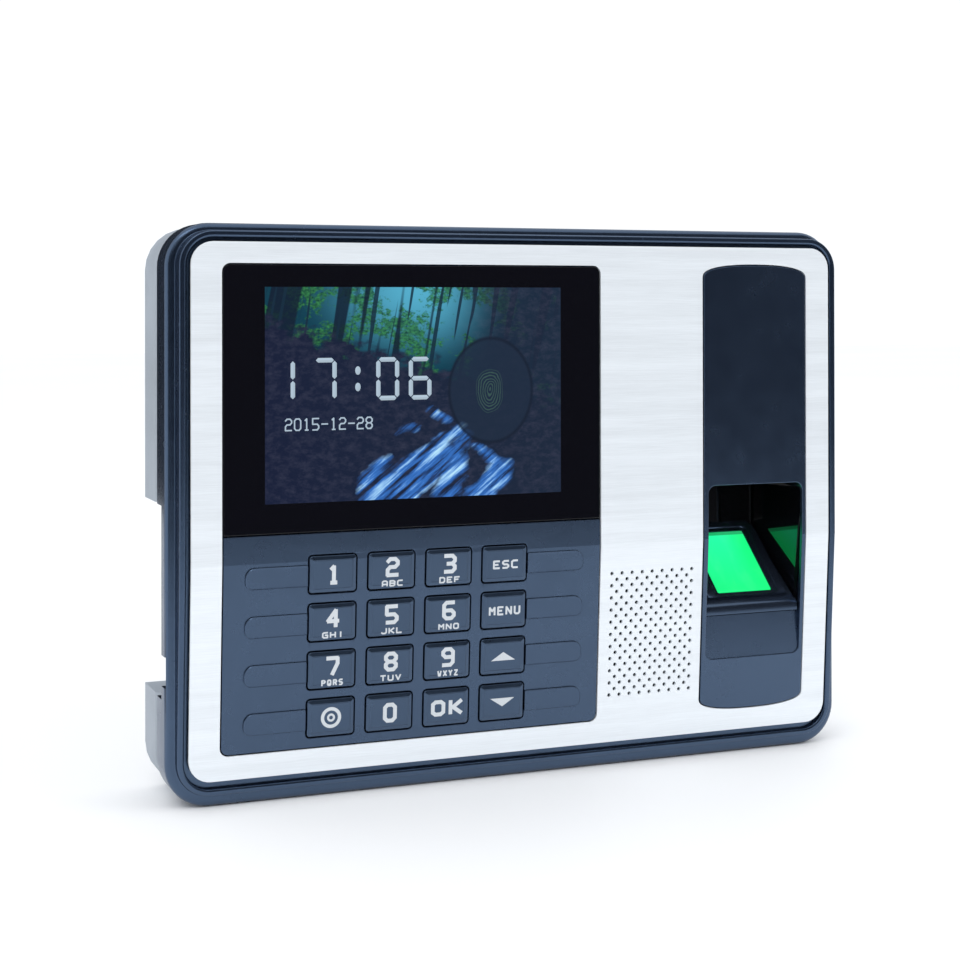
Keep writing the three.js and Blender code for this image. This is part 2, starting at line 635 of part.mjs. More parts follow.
// The same screw standing upright, driven from below.
function lockScrew() {
  const upright = screw(0, 0, 2.6, 1.25, 0, 7.6, 9.3);
  const up = new THREE.Matrix4().makeRotationX(-Math.PI / 2);
  const [depth, head] = [LOCK.depth - TOTAL_DEPTH, LOCK.lip - GAP + 7.6 - TOTAL_DEPTH];
  const place = new THREE.Matrix4().makeTranslation(0, depth, head).multiply(up);
  return upright.transform(place.elements);
}

// ---- the assembly ----------------------------------------------------------------------------
add("front_cover", frontCover(), SATIN_BLACK);
add("face_plate", facePlate(), BRUSHED_SILVER);
add("display_window", displayWindow(), GLOSS_BLACK);
add("keypad_panel", keypadPanel(), SLATE_KEYS);
for (const centre of keyCentres) add(centre.name, key(centre), SLATE_KEYS, leaning);
add("keypad_membrane", keypadMembrane(), RUBBER, leaning);
add("keypad_board", slab(keypadSheet(), 5.6, 6.8), CIRCUIT_GREEN, leaning);
add("speaker", speaker(), BLACK_PLASTIC, leaning);
add("lcd_module", lcdModule(), GLOSS_BLACK);
add("sensor_trim", sensorTrim(), SATIN_BLACK);
add("sensor_housing", sensorHousing(), GLOSS_BLACK);
add("sensor_platen", onPlaten(-PLATEN.thick, 0), GREEN_GLASS);
add("sensor_board", sensorBoard(), CIRCUIT_GREEN);
add("main_board", mainBoard(), CIRCUIT_GREEN);
add("main_chip", chip(MAIN_CHIP), BLACK_PLASTIC);
add("memory_chip", chip(MEMORY_CHIP), BLACK_PLASTIC);
add("battery_holder", batteryHolder(), BLACK_PLASTIC);
add("clock_battery", clockBattery(), STEEL);
add("buzzer", buzzer(), BLACK_PLASTIC);
add("lcd_ribbon", ribbon(SCREEN_LEAD, -40, -18), AMBER_FILM);
add("usb_port", usbPort(), STEEL);
add("dc_jack", dcJack(), BLACK_PLASTIC);
BOARD_SCREWS.forEach(([x, z], i) => {
  add("board_screw_" + (i + 1), screw(x, z, 2.2, 0.9, 8, 11.7, 13), STEEL);
});
add("rear_case", rearCase(), TEXTURED_GREY);
caseScrews.forEach(([x, z], i) => {
  add("case_screw_" + (i + 1), screw(x, z, 2.8, 1.3, 8, 20.3, 22.3), STEEL);
});
add("wall_plate", wallPlate(), STEEL);
add("lock_screw", lockScrew(), STEEL);

export default terminal;
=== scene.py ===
"""Looks for the fingerprint scanner terminal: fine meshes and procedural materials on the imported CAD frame.

Shapes are worked out in millimetres in the CAD's frame, X to the right, Y to the back and Z up, and
become metres when a piece is made. A depth is measured from the front of the face plate to the back.
"""

import json
from math import atan2, cos, pi, radians, sin, tan

import bmesh
import bpy
from mathutils import Matrix, Quaternion, Vector

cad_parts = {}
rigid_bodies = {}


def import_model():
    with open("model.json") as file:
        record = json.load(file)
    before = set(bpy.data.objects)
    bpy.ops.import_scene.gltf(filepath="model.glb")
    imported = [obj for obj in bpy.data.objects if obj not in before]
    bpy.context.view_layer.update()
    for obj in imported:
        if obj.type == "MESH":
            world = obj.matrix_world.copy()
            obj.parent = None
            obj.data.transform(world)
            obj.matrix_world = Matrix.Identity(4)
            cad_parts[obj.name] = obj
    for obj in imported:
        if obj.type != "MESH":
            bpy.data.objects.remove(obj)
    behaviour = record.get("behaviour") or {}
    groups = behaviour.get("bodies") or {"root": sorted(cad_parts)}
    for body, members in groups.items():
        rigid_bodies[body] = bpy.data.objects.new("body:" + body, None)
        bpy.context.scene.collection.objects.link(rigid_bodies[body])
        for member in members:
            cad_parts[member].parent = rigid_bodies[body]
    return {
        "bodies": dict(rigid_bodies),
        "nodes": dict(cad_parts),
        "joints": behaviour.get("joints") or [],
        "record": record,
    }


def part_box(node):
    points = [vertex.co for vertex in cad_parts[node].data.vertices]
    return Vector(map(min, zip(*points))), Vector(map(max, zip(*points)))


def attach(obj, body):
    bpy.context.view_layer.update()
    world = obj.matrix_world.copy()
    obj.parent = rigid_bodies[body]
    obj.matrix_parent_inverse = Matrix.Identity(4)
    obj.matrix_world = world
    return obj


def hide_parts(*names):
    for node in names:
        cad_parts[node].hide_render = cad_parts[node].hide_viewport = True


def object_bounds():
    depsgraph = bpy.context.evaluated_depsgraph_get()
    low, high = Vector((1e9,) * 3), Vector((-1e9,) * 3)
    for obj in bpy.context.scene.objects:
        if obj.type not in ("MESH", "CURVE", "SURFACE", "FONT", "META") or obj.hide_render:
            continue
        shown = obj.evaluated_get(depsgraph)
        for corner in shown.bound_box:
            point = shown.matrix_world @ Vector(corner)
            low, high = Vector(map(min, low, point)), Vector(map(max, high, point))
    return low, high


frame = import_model()
CAD_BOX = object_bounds()
MM = 0.001


# ---- sizes from the frame --------------------------------------------------------------
def low(node):
    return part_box(node)[0] / MM


def high(node):
    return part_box(node)[1] / MM


def box_of(node):
    return low(node), high(node)


def middle(node, axis):
    """The middle of a node's box along an axis, 0 to 2."""
    return (low(node)[axis] + high(node)[axis]) / 2


PRESS = next(j["axis"] for j in frame["joints"] if j["name"] == "key_1_press")
LEAN = atan2(PRESS[2], PRESS[1])  # how far the lower face leans back
RIDGE_Z = -11.1  # the face is upright above this height
FRONT = low("face_plate").y
FACE_ORIGIN = Vector((0, FRONT, RIDGE_Z))
INWARD = Vector((0, cos(LEAN), sin(LEAN)))
UPWARD = Vector((0, -sin(LEAN), cos(LEAN)))
GAP = 0.3

KEYS = [n for n in frame["bodies"] if n.startswith("key_")]


def lean_at(z):
    return max(0.0, RIDGE_Z - z) * tan(LEAN)


def upright(x, z, depth):
    """A point so deep behind the upright face."""
    return Vector((x, FRONT + depth, z))


def leaned(x, z, depth):
    """A point so deep behind the face, which leans back below the ridge."""
    return Vector((x, FRONT + depth + lean_at(z), z))


def on_face(x, along, depth):
    """A point in the frame of the leaning face, whose origin is on the ridge."""
    return FACE_ORIGIN + Vector((x, 0, 0)) + UPWARD * along + INWARD * depth


def reach(node, direction):
    """The lowest and highest place of a CAD node along a direction, from the ridge."""
    places = [(v.co / MM - FACE_ORIGIN).dot(direction) for v in frame["nodes"][node].data.vertices]
    return min(places), max(places)


# ---- outlines and meshes ---------------------------------------------------------------
def rounded(left, right, bottom, top, radii, steps=8):
    """A rectangle as (x, z) points, anticlockwise. Its radii go round from the lower left."""
    if not isinstance(radii, (tuple, list)):
        radii = (radii,) * 4
    corners = [(left, bottom, 1, 1), (right, bottom, -1, 1), (right, top, -1, -1), (left, top, 1, -1)]
    points = []
    for turn, ((x, z, sx, sz), radius) in enumerate(zip(corners, radii)):
        radius = max(radius, 0.02)
        for i in range(steps + 1):
            angle = pi + (turn + i / steps) * pi / 2
            points.append((x + sx * radius + radius * cos(angle), z + sz * radius + radius * sin(angle)))
    return points


def rectangle(width, height, radii, x=0.0, z=0.0, steps=8):
    """An outline that can be drawn larger by any amount, with its corners growing to match."""

    def outline(grow=0.0):
        grown = [r + grow for r in radii] if isinstance(radii, (tuple, list)) else radii + grow
        w, h = width / 2 + grow, height / 2 + grow
        return rounded(x - w, x + w, z - h, z + h, grown, steps)

    return outline


def span(left, right, bottom, top, radii, steps=8):
    return rectangle(right - left, top - bottom, radii, (left + right) / 2, (bottom + top) / 2, steps)


def front_of(box, radii):
    """The outline of a box, a low and a high corner, seen from the front."""
    return span(box[0].x, box[1].x, box[0].z, box[1].z, radii)


def full_turn(sides):
    return [2 * pi * i / sides for i in range(sides)]


def circle(x, z, radius, sides):
    def outline(grow=0.0):
        return [(x + (radius + grow) * cos(t), z + (radius + grow) * sin(t)) for t in full_turn(sides)]

    return outline


def with_ridge(points):
    """Adds a point where an outline crosses the ridge, so that a loop folds there."""
    result = []
    for (x0, z0), (x1, z1) in zip(points, points[1:] + points[:1]):
        result.append((x0, z0))
        if (z0 - RIDGE_Z) * (z1 - RIDGE_Z) < 0:
            t = (RIDGE_Z - z0) / (z1 - z0)
            result.append((x0 + t * (x1 - x0), RIDGE_Z))
    return result


def loft(bm, loops, closed=False, caps=True):
    """Skins a list of loops of points, all with the same number of points."""
    rings = [[bm.verts.new(p) for p in loop] for loop in loops]
    pairs = list(zip(rings, rings[1:]))
    if closed:
        pairs.append((rings[-1], rings[0]))
    for a, b in pairs:
        for i in range(len(a)):
            j = (i + 1) % len(a)
            bm.faces.new((a[i], a[j], b[j], b[i]))
    if caps and not closed:
        bm.faces.new(rings[0][::-1])
        bm.faces.new(rings[-1])
    return rings


def rounding(radius, steps):
    """(inset, depth) pairs of a rounded edge, from the front face round to the side."""
    turns = [i * pi / 2 / steps for i in range(steps + 1)]
    return [(radius * (1 - sin(t)), radius * (1 - cos(t))) for t in turns]


def sheet(bm, edge, holes, front, back, bevel):
    """A sheet with holes, its front edges rounded. Outlines are functions of how much they grow."""
    fronts, backs = [], []
    for outline, sign in [(edge, -1)] + [(hole, 1) for hole in holes]:
        loops = [
            [upright(x, z, front + depth) for x, z in outline(sign * inset)]
            for inset, depth in rounding(bevel, 3)
        ]
        loops.append([upright(x, z, back) for x, z in outline()])
        rings = loft(bm, loops, caps=False)
        fronts.append(rings[0])
        backs.append(rings[-1])
    for side in (fronts, backs):
        edges = []
        for ring in side:
            edges += [bm.edges.get((a, b)) for a, b in zip(ring, ring[1:] + ring[:1])]
        bmesh.ops.triangle_fill(bm, edges=edges, use_beauty=True)


def bend(bm):
    """Folds a flat mesh at the ridge, as the face is folded."""
    everything = bm.verts[:] + bm.edges[:] + bm.faces[:]
    bmesh.ops.bisect_plane(bm, geom=everything, plane_co=(0, 0, RIDGE_Z), plane_no=(0, 0, 1), dist=1e-4)
    for v in bm.verts:
        v.co.y += lean_at(v.co.z)
    for e in bm.edges:
        if all(abs(v.co.z - RIDGE_Z) < 1e-3 for v in e.verts):
            e.smooth = False


def mesh_of(bm, name, angle=35):
    bmesh.ops.remove_doubles(bm, verts=bm.verts, dist=1e-4)
    bmesh.ops.recalc_face_normals(bm, faces=bm.faces)
    bm.edges.index_update()
    folds = [e.index for e in bm.edges if not e.smooth]
    mesh = bpy.data.meshes.new(name)
    bm.to_mesh(mesh)
    bm.free()
    mesh.transform(Matrix.Scale(MM, 4))
    mesh.polygons.foreach_set("use_smooth", [True] * len(mesh.polygons))
    mesh.set_sharp_from_angle(angle=radians(angle))
    for i in folds:
        mesh.edges[i].use_edge_sharp = True
    return mesh


def add_object(name, data):
    made = bpy.data.objects.new(name, data)
    bpy.context.scene.collection.objects.link(made)
    return made


def piece(name, bm, material, body, slot, *nodes, angle=35):
    """Makes a shown object of a mesh in millimetres, riding on a body and standing for CAD nodes."""
    made = add_object(name, mesh_of(bm, name, angle))
    made.data.materials.append(material)
    weighted = made.modifiers.new("even_normals", "WEIGHTED_NORMAL")
    weighted.keep_sharp = True
    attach(made, body)
    if nodes:
        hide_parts(*nodes)
    return made


def subtract(made, *boxes):
    """Cuts boxes, each a low and a high corner in millimetres, out of a piece."""
    for lowest, highest in boxes:
        bm = bmesh.new()
        bmesh.ops.create_cube(bm, size=1)
        middle, size = (lowest + highest) / 2, highest - lowest
        for v in bm.verts:
            v.co = middle + Vector(a * b for a, b in zip(v.co, size))
        cutter = add_object("cutter", mesh_of(bm, "cutter"))
        modifier = made.modifiers.new("cut", "BOOLEAN")
        modifier.operation = "DIFFERENCE"
        modifier.solver = "EXACT"
        modifier.object = cutter
        bpy.context.view_layer.update()
        shown = made.evaluated_get(bpy.context.evaluated_depsgraph_get())
        cut = bpy.data.meshes.new_from_object(shown)
        made.modifiers.remove(modifier)
        made.data = cut
        bpy.data.objects.remove(cutter)


# ---- materials -------------------------------------------------------------------------
class Shader:
    """A material's nodes, with short names for the kinds used here."""

    def __init__(self, name):
        self.material = bpy.data.materials.new(name)
        self.material.use_nodes = True
        self.nodes = self.material.node_tree.nodes
        self.links = self.material.node_tree.links
        self.nodes.clear()
        self.coords = self.node("TexCoord").outputs["Object"]

    def node(self, kind, inputs=None, **settings):
        made = self.nodes.new("ShaderNode" + kind)
        for key, value in settings.items():
            setattr(made, key, value)
        for key, value in (inputs or {}).items():
            self.set(made.inputs[key], value)
        return made

    def set(self, socket, value):
        if isinstance(value, bpy.types.NodeSocket):
            self.links.new(value, socket)
        else:
            socket.default_value = value

    def noise(self, scale, stretch=(1, 1, 1), detail=3.0, rough=0.5, coords=None):
        mapped = self.node("Mapping", {"Vector": coords or self.coords, "Scale": stretch})
        inputs = {"Vector": mapped.outputs[0], "Scale": scale, "Detail": detail, "Roughness": rough}
        return self.node("TexNoise", inputs).outputs["Fac"]

    def math(self, operation, a, b=0.0, c=0.0, clamp=False):
        made = self.node("Math", {0: a, 1: b, 2: c}, operation=operation, use_clamp=clamp)
        return made.outputs[0]

    def spread(self, value, low, high, start=0.3, end=0.7, smooth=False):
        """Carries a value from one span to another."""
        inputs = {"Value": value, "From Min": start, "From Max": end, "To Min": low, "To Max": high}
        kind = "SMOOTHSTEP" if smooth else "LINEAR"
        return self.node("MapRange", inputs, interpolation_type=kind).outputs[0]

    def vector(self, operation, a, b=None, scale=None):
        """Vector maths, of which three operations give a number."""
        inputs = {0: a}
        if b is not None:
            inputs[1] = b
        if scale is not None:
            inputs["Scale"] = scale
        made = self.node("VectorMath", inputs, operation=operation)
        number = operation in ("LENGTH", "DISTANCE", "DOT_PRODUCT")
        return made.outputs["Value" if number else "Vector"]

    def mapped(self, vector, place, scale):
        return self.node("Mapping", {"Vector": vector, "Location": place, "Scale": scale}).outputs[0]

    def mix(self, factor, a, b):
        made = self.node("Mix", data_type="RGBA", clamp_result=False)
        for key, value in ((0, factor), (6, a), (7, b)):
            self.set(made.inputs[key], rgb(value))
        return made.outputs[2]

    def bump(self, height, depth, strength=1.0):
        inputs = {"Height": height, "Distance": depth * MM, "Strength": strength}
        return self.node("Bump", inputs).outputs[0]

    def finish(self, **sockets):
        """Ends the material in one Principled shader."""
        made = self.node("BsdfPrincipled", {k.replace("_", " "): rgb(v) for k, v in sockets.items()})
        output = self.node("OutputMaterial")
        self.links.new(made.outputs[0], output.inputs[0])
        return self.material


def rgb(value):
    return (*value, 1.0) if isinstance(value, tuple) and len(value) == 3 else value


def scaled(color, share):
    return tuple(c * share for c in color)


def plastic(name, color, rough, grain=0.25, depth=0.006, tint=(1, 1, 1), ior=1.5, vary=0.12):
    """Moulded plastic: a fine grain, slow changes of tone, and patches that are a little shinier."""
    s = Shader(name)
    slow = s.noise(45, detail=4)
    fine = s.noise(1 / (grain * MM), detail=4, rough=0.6)
    tone = s.mix(s.spread(slow, 0, 1), scaled(color, 1 - vary), scaled(color, 1 + vary))
    tone = s.mix(s.spread(fine, 0, 0.35), tone, scaled(color, 1.5))
    patches = s.spread(s.noise(160, detail=5), rough * 0.9, rough * 1.12)
    return s.finish(
        Base_Color=tone,
        Roughness=patches,
        IOR=ior,
        Specular_Tint=tint,
        Normal=s.bump(fine, depth),
    )


def gloss(name, color, rough=0.04, ior=1.5, tint=(1, 1, 1)):
    """Polished plastic, whose surface waves a very little."""
    s = Shader(name)
    wave = s.noise(60, detail=2)
    dust = s.noise(2600, detail=6, rough=0.7)
    tone = s.mix(s.spread(dust, 0, 0.5, 0.66, 0.8), color, tuple(c * 3 + 0.01 for c in color))
    return s.finish(
        Base_Color=tone,
        Roughness=s.spread(dust, rough, rough + 0.05, 0.5, 0.8),
        IOR=ior,
        Specular_Tint=tint,
        Normal=s.bump(wave, 0.01),
    )


def brushed(name, color, rough, metallic, line=0.09, depth=0.002, contrast=0.06, anisotropic=0.6):
    """Metal brushed along X: fine lines, and fainter broad streaks."""
    s = Shader(name)
    lines = s.noise(1 / (line * MM), stretch=(0.012, 1, 1), detail=4, rough=0.65)
    streaks = s.noise(420, stretch=(0.03, 1, 1), detail=3)
    both = s.math("ADD", s.math("MULTIPLY", lines, 0.6), s.math("MULTIPLY", streaks, 0.4))
    light = tuple(min(1, c) for c in scaled(color, 1 + contrast))
    tone = s.mix(s.spread(both, 0, 1, 0.38, 0.62), scaled(color, 1 - contrast), light)
    sockets = {
        "Base_Color": tone,
        "Metallic": metallic,
        "Roughness": s.spread(both, rough - 0.06, rough + 0.06, 0.38, 0.62),
        "Normal": s.bump(lines, depth, 0.5),
    }
    if anisotropic:
        sockets["Anisotropic"] = anisotropic
        sockets["Tangent"] = s.node("Tangent", direction_type="RADIAL", axis="Z").outputs[0]
    return s.finish(**sockets)


def circuit(name, color):
    """Solder resist over copper tracks."""
    s = Shader(name)
    cells = s.node("TexVoronoi", {"Vector": s.coords, "Scale": 260.0}, feature="F1", distance="MANHATTAN")
    tracks = s.spread(cells.outputs["Distance"], 0, 1, 0.3, 0.5)
    tone = s.mix(tracks, color, scaled(color, 1.7))
    return s.finish(Base_Color=tone, Roughness=0.35, Normal=s.bump(tracks, 0.03))


SLATE_TINT = (0.43, 0.64, 1.0)
M = {
    "cover": plastic("satin_cover", (0.005, 0.008, 0.016), 0.25, tint=SLATE_TINT, ior=2.3),
    "panel": plastic("slate_panel", (0.005, 0.008, 0.016), 0.28, tint=SLATE_TINT, ior=2.3, depth=0.004),
    "key": plastic("key_plastic", (0.005, 0.008, 0.014), 0.30, tint=SLATE_TINT, ior=2.3, depth=0.004),
    "case": plastic("textured_case", (0.30, 0.335, 0.38), 0.6, grain=0.35, depth=0.06),
    "plate": brushed("brushed_silver", (0.76, 0.80, 0.84), 0.42, 0.25),
    "steel": brushed("zinc_steel", (0.62, 0.63, 0.65), 0.36, 0.95, line=0.3, depth=0.004, anisotropic=0),
    "window": gloss("gloss_window", (0.003, 0.003, 0.005), ior=1.42),
    "tray": gloss("gloss_tray", (0.002, 0.002, 0.003), ior=1.9, rough=0.03),
    "housing": gloss("gloss_housing", (0.008, 0.011, 0.018), ior=2.1, rough=0.14, tint=SLATE_TINT),
    "black": plastic("black_plastic", (0.012, 0.012, 0.014), 0.45),
    "rubber": plastic("silicone", (0.25, 0.27, 0.29), 0.7, grain=0.5),
    "board": circuit("circuit_board", (0.02, 0.13, 0.07)),
    "film": plastic("cable_film", (0.5, 0.28, 0.06), 0.3, grain=0.8),
    "ink": plastic("white_ink", (0.50, 0.53, 0.56), 0.5, grain=0.15, vary=0.03),
}


# ---- the front cover -------------------------------------------------------------------
BODY = {"width": high("front_cover").x * 2, "height": high("front_cover").z * 2, "radius": 10.0}
RAISED = {"width": 170.4, "height": 127.4, "radius": 7.8, "z": 0.4}
LEDGE_DEPTH = 5.0
COVER_BACK = 14.2
WALL = 2.2
OUTER_ROUNDING = 1.5
BEAD = {"front": 0.6, "width": 1.6, "outer": 0.35, "inner": 0.75, "floor": 1.9}
SHELF = {"reach": 7.2, "back": 3.4, "wall": 3.4, "wall_back": 7.5}  # holds the plate inside the bead
BAY = {"top": 2.0, "bottom": -41.8, "rim_back": 9.3, "back": 20.0, "reach": 4.5}
USB_SLOT = {"front": 5.7, "back": 11.0, "half": 3.5, "reach": 3.5}
OUTSIDE = 5.0  # how far a cut starts outside the body
USB_Z = middle("usb_port", 2)


def front_cover():
    """A rim of rounded steps round the face, with a shelf behind the plate's edge, and a notch and the USB
    slot cut from its side.
    """
    body = rectangle(BODY["width"], BODY["height"], BODY["radius"], steps=12)
    raised = rectangle(RAISED["width"], RAISED["height"], RAISED["radius"], z=RAISED["z"], steps=12)

    def loop(outline, inset, depth, place=upright):
        return [place(x, z, depth) for x, z in with_ridge(outline(-inset))]

    loops = [loop(body, WALL, COVER_BACK), loop(body, 0.25, COVER_BACK), loop(body, 0, COVER_BACK - 0.25)]
    for inset, depth in reversed(rounding(OUTER_ROUNDING, 5)):
        loops.append(loop(body, inset, LEDGE_DEPTH + depth))
    loops.append(loop(raised, -0.25, LEDGE_DEPTH))
    loops.append(loop(raised, -0.05, LEDGE_DEPTH - 0.2))
    for inset, depth in reversed(rounding(BEAD["outer"], 3)):
        loops.append(loop(raised, inset, BEAD["front"] + depth, leaned))
    for inset, depth in rounding(BEAD["inner"], 5):
        loops.append(loop(raised, BEAD["width"] - inset, BEAD["front"] + depth, leaned))
    shelf = [(BEAD["width"] + 0.05, BEAD["floor"]), (SHELF["reach"], BEAD["floor"])]
    shelf += [(SHELF["reach"], SHELF["back"]), (SHELF["wall"], SHELF["back"])]
    for inset, depth in shelf:
        loops.append(loop(raised, inset, depth, leaned))
    loops.append(loop(raised, SHELF["wall"], SHELF["wall_back"]))
    loops.append(loop(body, WALL, SHELF["wall_back"]))
    bm = bmesh.new()
    loft(bm, loops, closed=True)
    made = piece("cover_rim", bm, M["cover"], "terminal", "satin_black", "front_cover", angle=50)
    side = -BODY["width"] / 2
    notch = (
        upright(side - OUTSIDE, BAY["bottom"], BAY["rim_back"]),
        upright(side + BAY["reach"], BAY["top"], BAY["back"]),
    )
    slot = (
        upright(side - OUTSIDE, USB_Z - USB_SLOT["half"], USB_SLOT["front"]),
        upright(side + USB_SLOT["reach"], USB_Z + USB_SLOT["half"], USB_SLOT["back"]),
    )
    subtract(made, notch, slot)


WALL_HOLES = (  # left, right, bottom, top and corner radius
    (-57.45, 0.35, -53.6, -8.4, 1),  # behind the keys
    (20.25, 44.45, -49.6, -17.1, 1),  # behind the grille
    (46.5, 76.1, -42.8, 3.4, 1),  # round the sensor's tray
)


def cover_wall():
    """The wall behind the plate, open behind the screen, the keys, the speaker and the sensor."""
    around = Vector((GAP, 0, GAP))
    holes = [front_of((low("lcd_module") - around, high("lcd_module") + around), 0.5)]
    holes += [span(*hole) for hole in WALL_HOLES]
    bm = bmesh.new()
    sheet(bm, rectangle(156.5, 113.5, 2, z=RAISED["z"]), holes, 2.2, 3.35, 0.05)
    bend(bm)
    piece("cover_wall", bm, M["cover"], "terminal", "satin_black", "front_cover")


# ---- the face --------------------------------------------------------------------------
PLATE = box_of("face_plate")
WINDOW = box_of("display_window")
PANEL = box_of("keypad_panel")
COLUMN = box_of("sensor_trim")
COLUMN_BULGE = 2.9
COLUMN_POWER = 2 / 2.4
PANEL_RADIUS = 2.0
PANEL_SEAM = 0.3  # corner radius where the window and the keypad meet
GRILLE = {"left": 21.35, "top": -18.3, "columns": 9, "rows": 21, "across": 2.75, "down": 1.5}
GRILLE_HOLE = 0.45


def column_outline(grow=0.0):
    """The sensor column: straight sides, and ends that bow outwards and turn into them roundly."""
    x = (COLUMN[0].x + COLUMN[1].x) / 2
    half = (COLUMN[1].x - COLUMN[0].x) / 2 + grow
    bulge = COLUMN_BULGE + grow
    steps = 20
    points = []
    for middle, side in ((COLUMN[0].z + COLUMN_BULGE, -1), (COLUMN[1].z - COLUMN_BULGE, 1)):
        for i in range(steps + 1):
            turn = pi * i / steps
            across = abs(cos(turn)) ** COLUMN_POWER * (1 if turn < pi / 2 else -1)
            up = max(0.0, sin(turn)) ** COLUMN_POWER
            points.append((x + side * half * across, middle + side * bulge * up))
    return points


def face_plate():
    left, right = WINDOW[0].x - GAP, WINDOW[1].x + GAP
    holes = [
        span(left, right, PANEL[0].z - GAP, WINDOW[1].z + GAP, PANEL_RADIUS),
        lambda grow=0.0: column_outline(GAP + grow),
    ]
    for row in range(GRILLE["rows"]):
        odd = row % 2
        for column in range(GRILLE["columns"] - odd):
            x = GRILLE["left"] + (column + odd / 2) * GRILLE["across"]
            holes.append(circle(x, GRILLE["top"] - row * GRILLE["down"], GRILLE_HOLE, 12))
    bm = bmesh.new()
    sheet(bm, front_of(PLATE, 5.2), holes, 0, 0.8, 0.12)
    bend(bm)
    piece("brushed_plate", bm, M["plate"], "terminal", "brushed_silver", "face_plate")


def display_window():
    corners = (PANEL_SEAM, PANEL_SEAM, PANEL_RADIUS - GAP, PANEL_RADIUS - GAP)
    bm = bmesh.new()
    sheet(bm, front_of(WINDOW, corners), [], 0.1, 1.9, 0.2)
    piece("window_glass", bm, M["window"], "terminal", "gloss_window", "display_window")


KEY = {"radius": 0.7, "flange": 2.0, "flange_height": 8.0}
TAB = {"length": 14.7, "height": 5.0, "drop": 0.2, "proud": 0.45}
TAB_RADII = {-1: (1.7, 0.3, 0.3, 2.2), 1: (0.3, 1.7, 2.2, 0.3)}  # on the left and on the right


def key_frame(node):
    """A key's middle and half size on the leaning face, and how far it stands out."""
    x0, x1 = reach(node, Vector((1, 0, 0)))
    a0, a1 = reach(node, UPWARD)
    return {
        "x": (x0 + x1) / 2,
        "along": (a0 + a1) / 2,
        "width": x1 - x0 - KEY["flange"],
        "height": a1 - a0,
        "front": reach(node, INWARD)[0],
    }


def face_outline(outline, grow, depth):
    return [on_face(x, along, depth) for x, along in outline(grow)]


def keypad_panel():
    frames = {name: key_frame(name) for name in KEYS}
    holes = []
    for k in frames.values():
        # the hole is square to the leaning face, and is drawn here at its height on the bent panel
        z = RIDGE_Z + k["along"] * cos(LEAN)
        width, height = k["width"] + 2 * GAP, k["height"] + 2 * GAP
        holes.append(rectangle(width, height, KEY["radius"] + GAP, k["x"], z, 4))
    corners = (PANEL_RADIUS - GAP, PANEL_RADIUS - GAP, PANEL_SEAM, PANEL_SEAM)
    bm = bmesh.new()
    sheet(bm, front_of(PANEL, corners), holes, 0.1, 1.9, 0.15)
    bend(bm)
    rows = sorted({round(k["along"], 2) for k in frames.values()})
    columns = [k["x"] for k in frames.values()]
    apart = frames["key_1"]["width"] / 2 + GAP + TAB["length"] / 2
    profile = [(0, 0.5), (0, 0.05), (-0.05, -0.3), (-0.22, -TAB["proud"]), (-0.5, -TAB["proud"] + 0.02)]
    for along in rows:
        for x, side in ((min(columns) - apart, -1), (max(columns) + apart, 1)):
            middle = along - TAB["drop"]
            outline = rectangle(TAB["length"], TAB["height"], TAB_RADII[side], x, middle, 5)
            loft(bm, [face_outline(outline, grow, depth) for grow, depth in profile])
    piece("keypad_fascia", bm, M["panel"], "terminal", "slate_panel", "keypad_panel")


# ---- keys and what is printed on them --------------------------------------------------
LETTERS = {
    "2": "ABC",
    "3": "DEF",
    "4": "GHI",
    "5": "JKL",
    "6": "MNO",
    "7": "PQRS",
    "8": "TUV",
    "9": "WXYZ",
}
WORD_SIZES = {"ESC": (6.5, 2.1), "MENU": (8.1, 2.2), "OK": (8.0, 3.85)}
DIGIT_SIZE = (3.4, 4.65)
LETTER_SIZE = (5.2, 1.5)
INK = 0.025
BAR_RISE = 0.0012  # keeps crossing bars from lying in one plane
BAR_END = 0.45  # how far a bar runs past its ends, as a share of half its thickness

# Square letters as strokes through points of a 4 x 6 grid, their corners cut.
BOX = "10 30 41 45 36 16 05 01 10"
GLYPHS = {
    "0": [BOX],
    "1": ["15 26 20", "10 30"],
    "2": ["05 16 36 45 44 33 13 02 00 40"],
    "3": ["06 36 45 44 33 13", "33 42 41 30 00"],
    "4": ["42 02 36 30"],
    "5": ["46 06 03 33 42 41 30 00"],
    "6": ["46 16 05 01 10 30 41 42 33 03"],
    "7": ["06 46 44 20"],
    "8": ["13 33 42 41 30 10 01 02 13 04 05 16 36 45 44 33"],
    "9": ["43 13 04 05 16 36 45 41 30 00"],
    "A": ["00 05 16 36 45 40", "02 42"],
    "B": ["00 06 36 45 44 33 03", "33 42 41 30 00"],
    "C": ["40 10 01 05 16 46"],
    "D": ["00 06 36 45 41 30 00"],
    "E": ["46 06 00 40", "03 33"],
    "F": ["46 06 00", "03 33"],
    "G": ["46 16 05 01 10 40 43 23"],
    "H": ["06 00", "46 40", "03 43"],
    "I": ["26 20"],
    "J": ["46 41 30 10 01"],
    "K": ["06 00", "46 13 40"],
    "L": ["06 00 40"],
    "M": ["00 06 23 46 40"],
    "N": ["00 06 40 46"],
    "O": [BOX],
    "P": ["00 06 36 45 44 33 03"],
    "Q": [BOX, "22 40"],
    "R": ["00 06 36 45 44 33 03", "23 40"],
    "S": ["46 16 05 04 13 33 42 41 30 00"],
    "T": ["06 46", "26 20"],
    "U": ["06 01 10 30 41 46"],
    "V": ["06 20 46"],
    "W": ["06 10 23 30 46"],
    "X": ["06 40", "00 46"],
    "Y": ["06 23 46", "23 20"],
    "Z": ["06 46 00 40"],
    "-": ["03 43"],
}


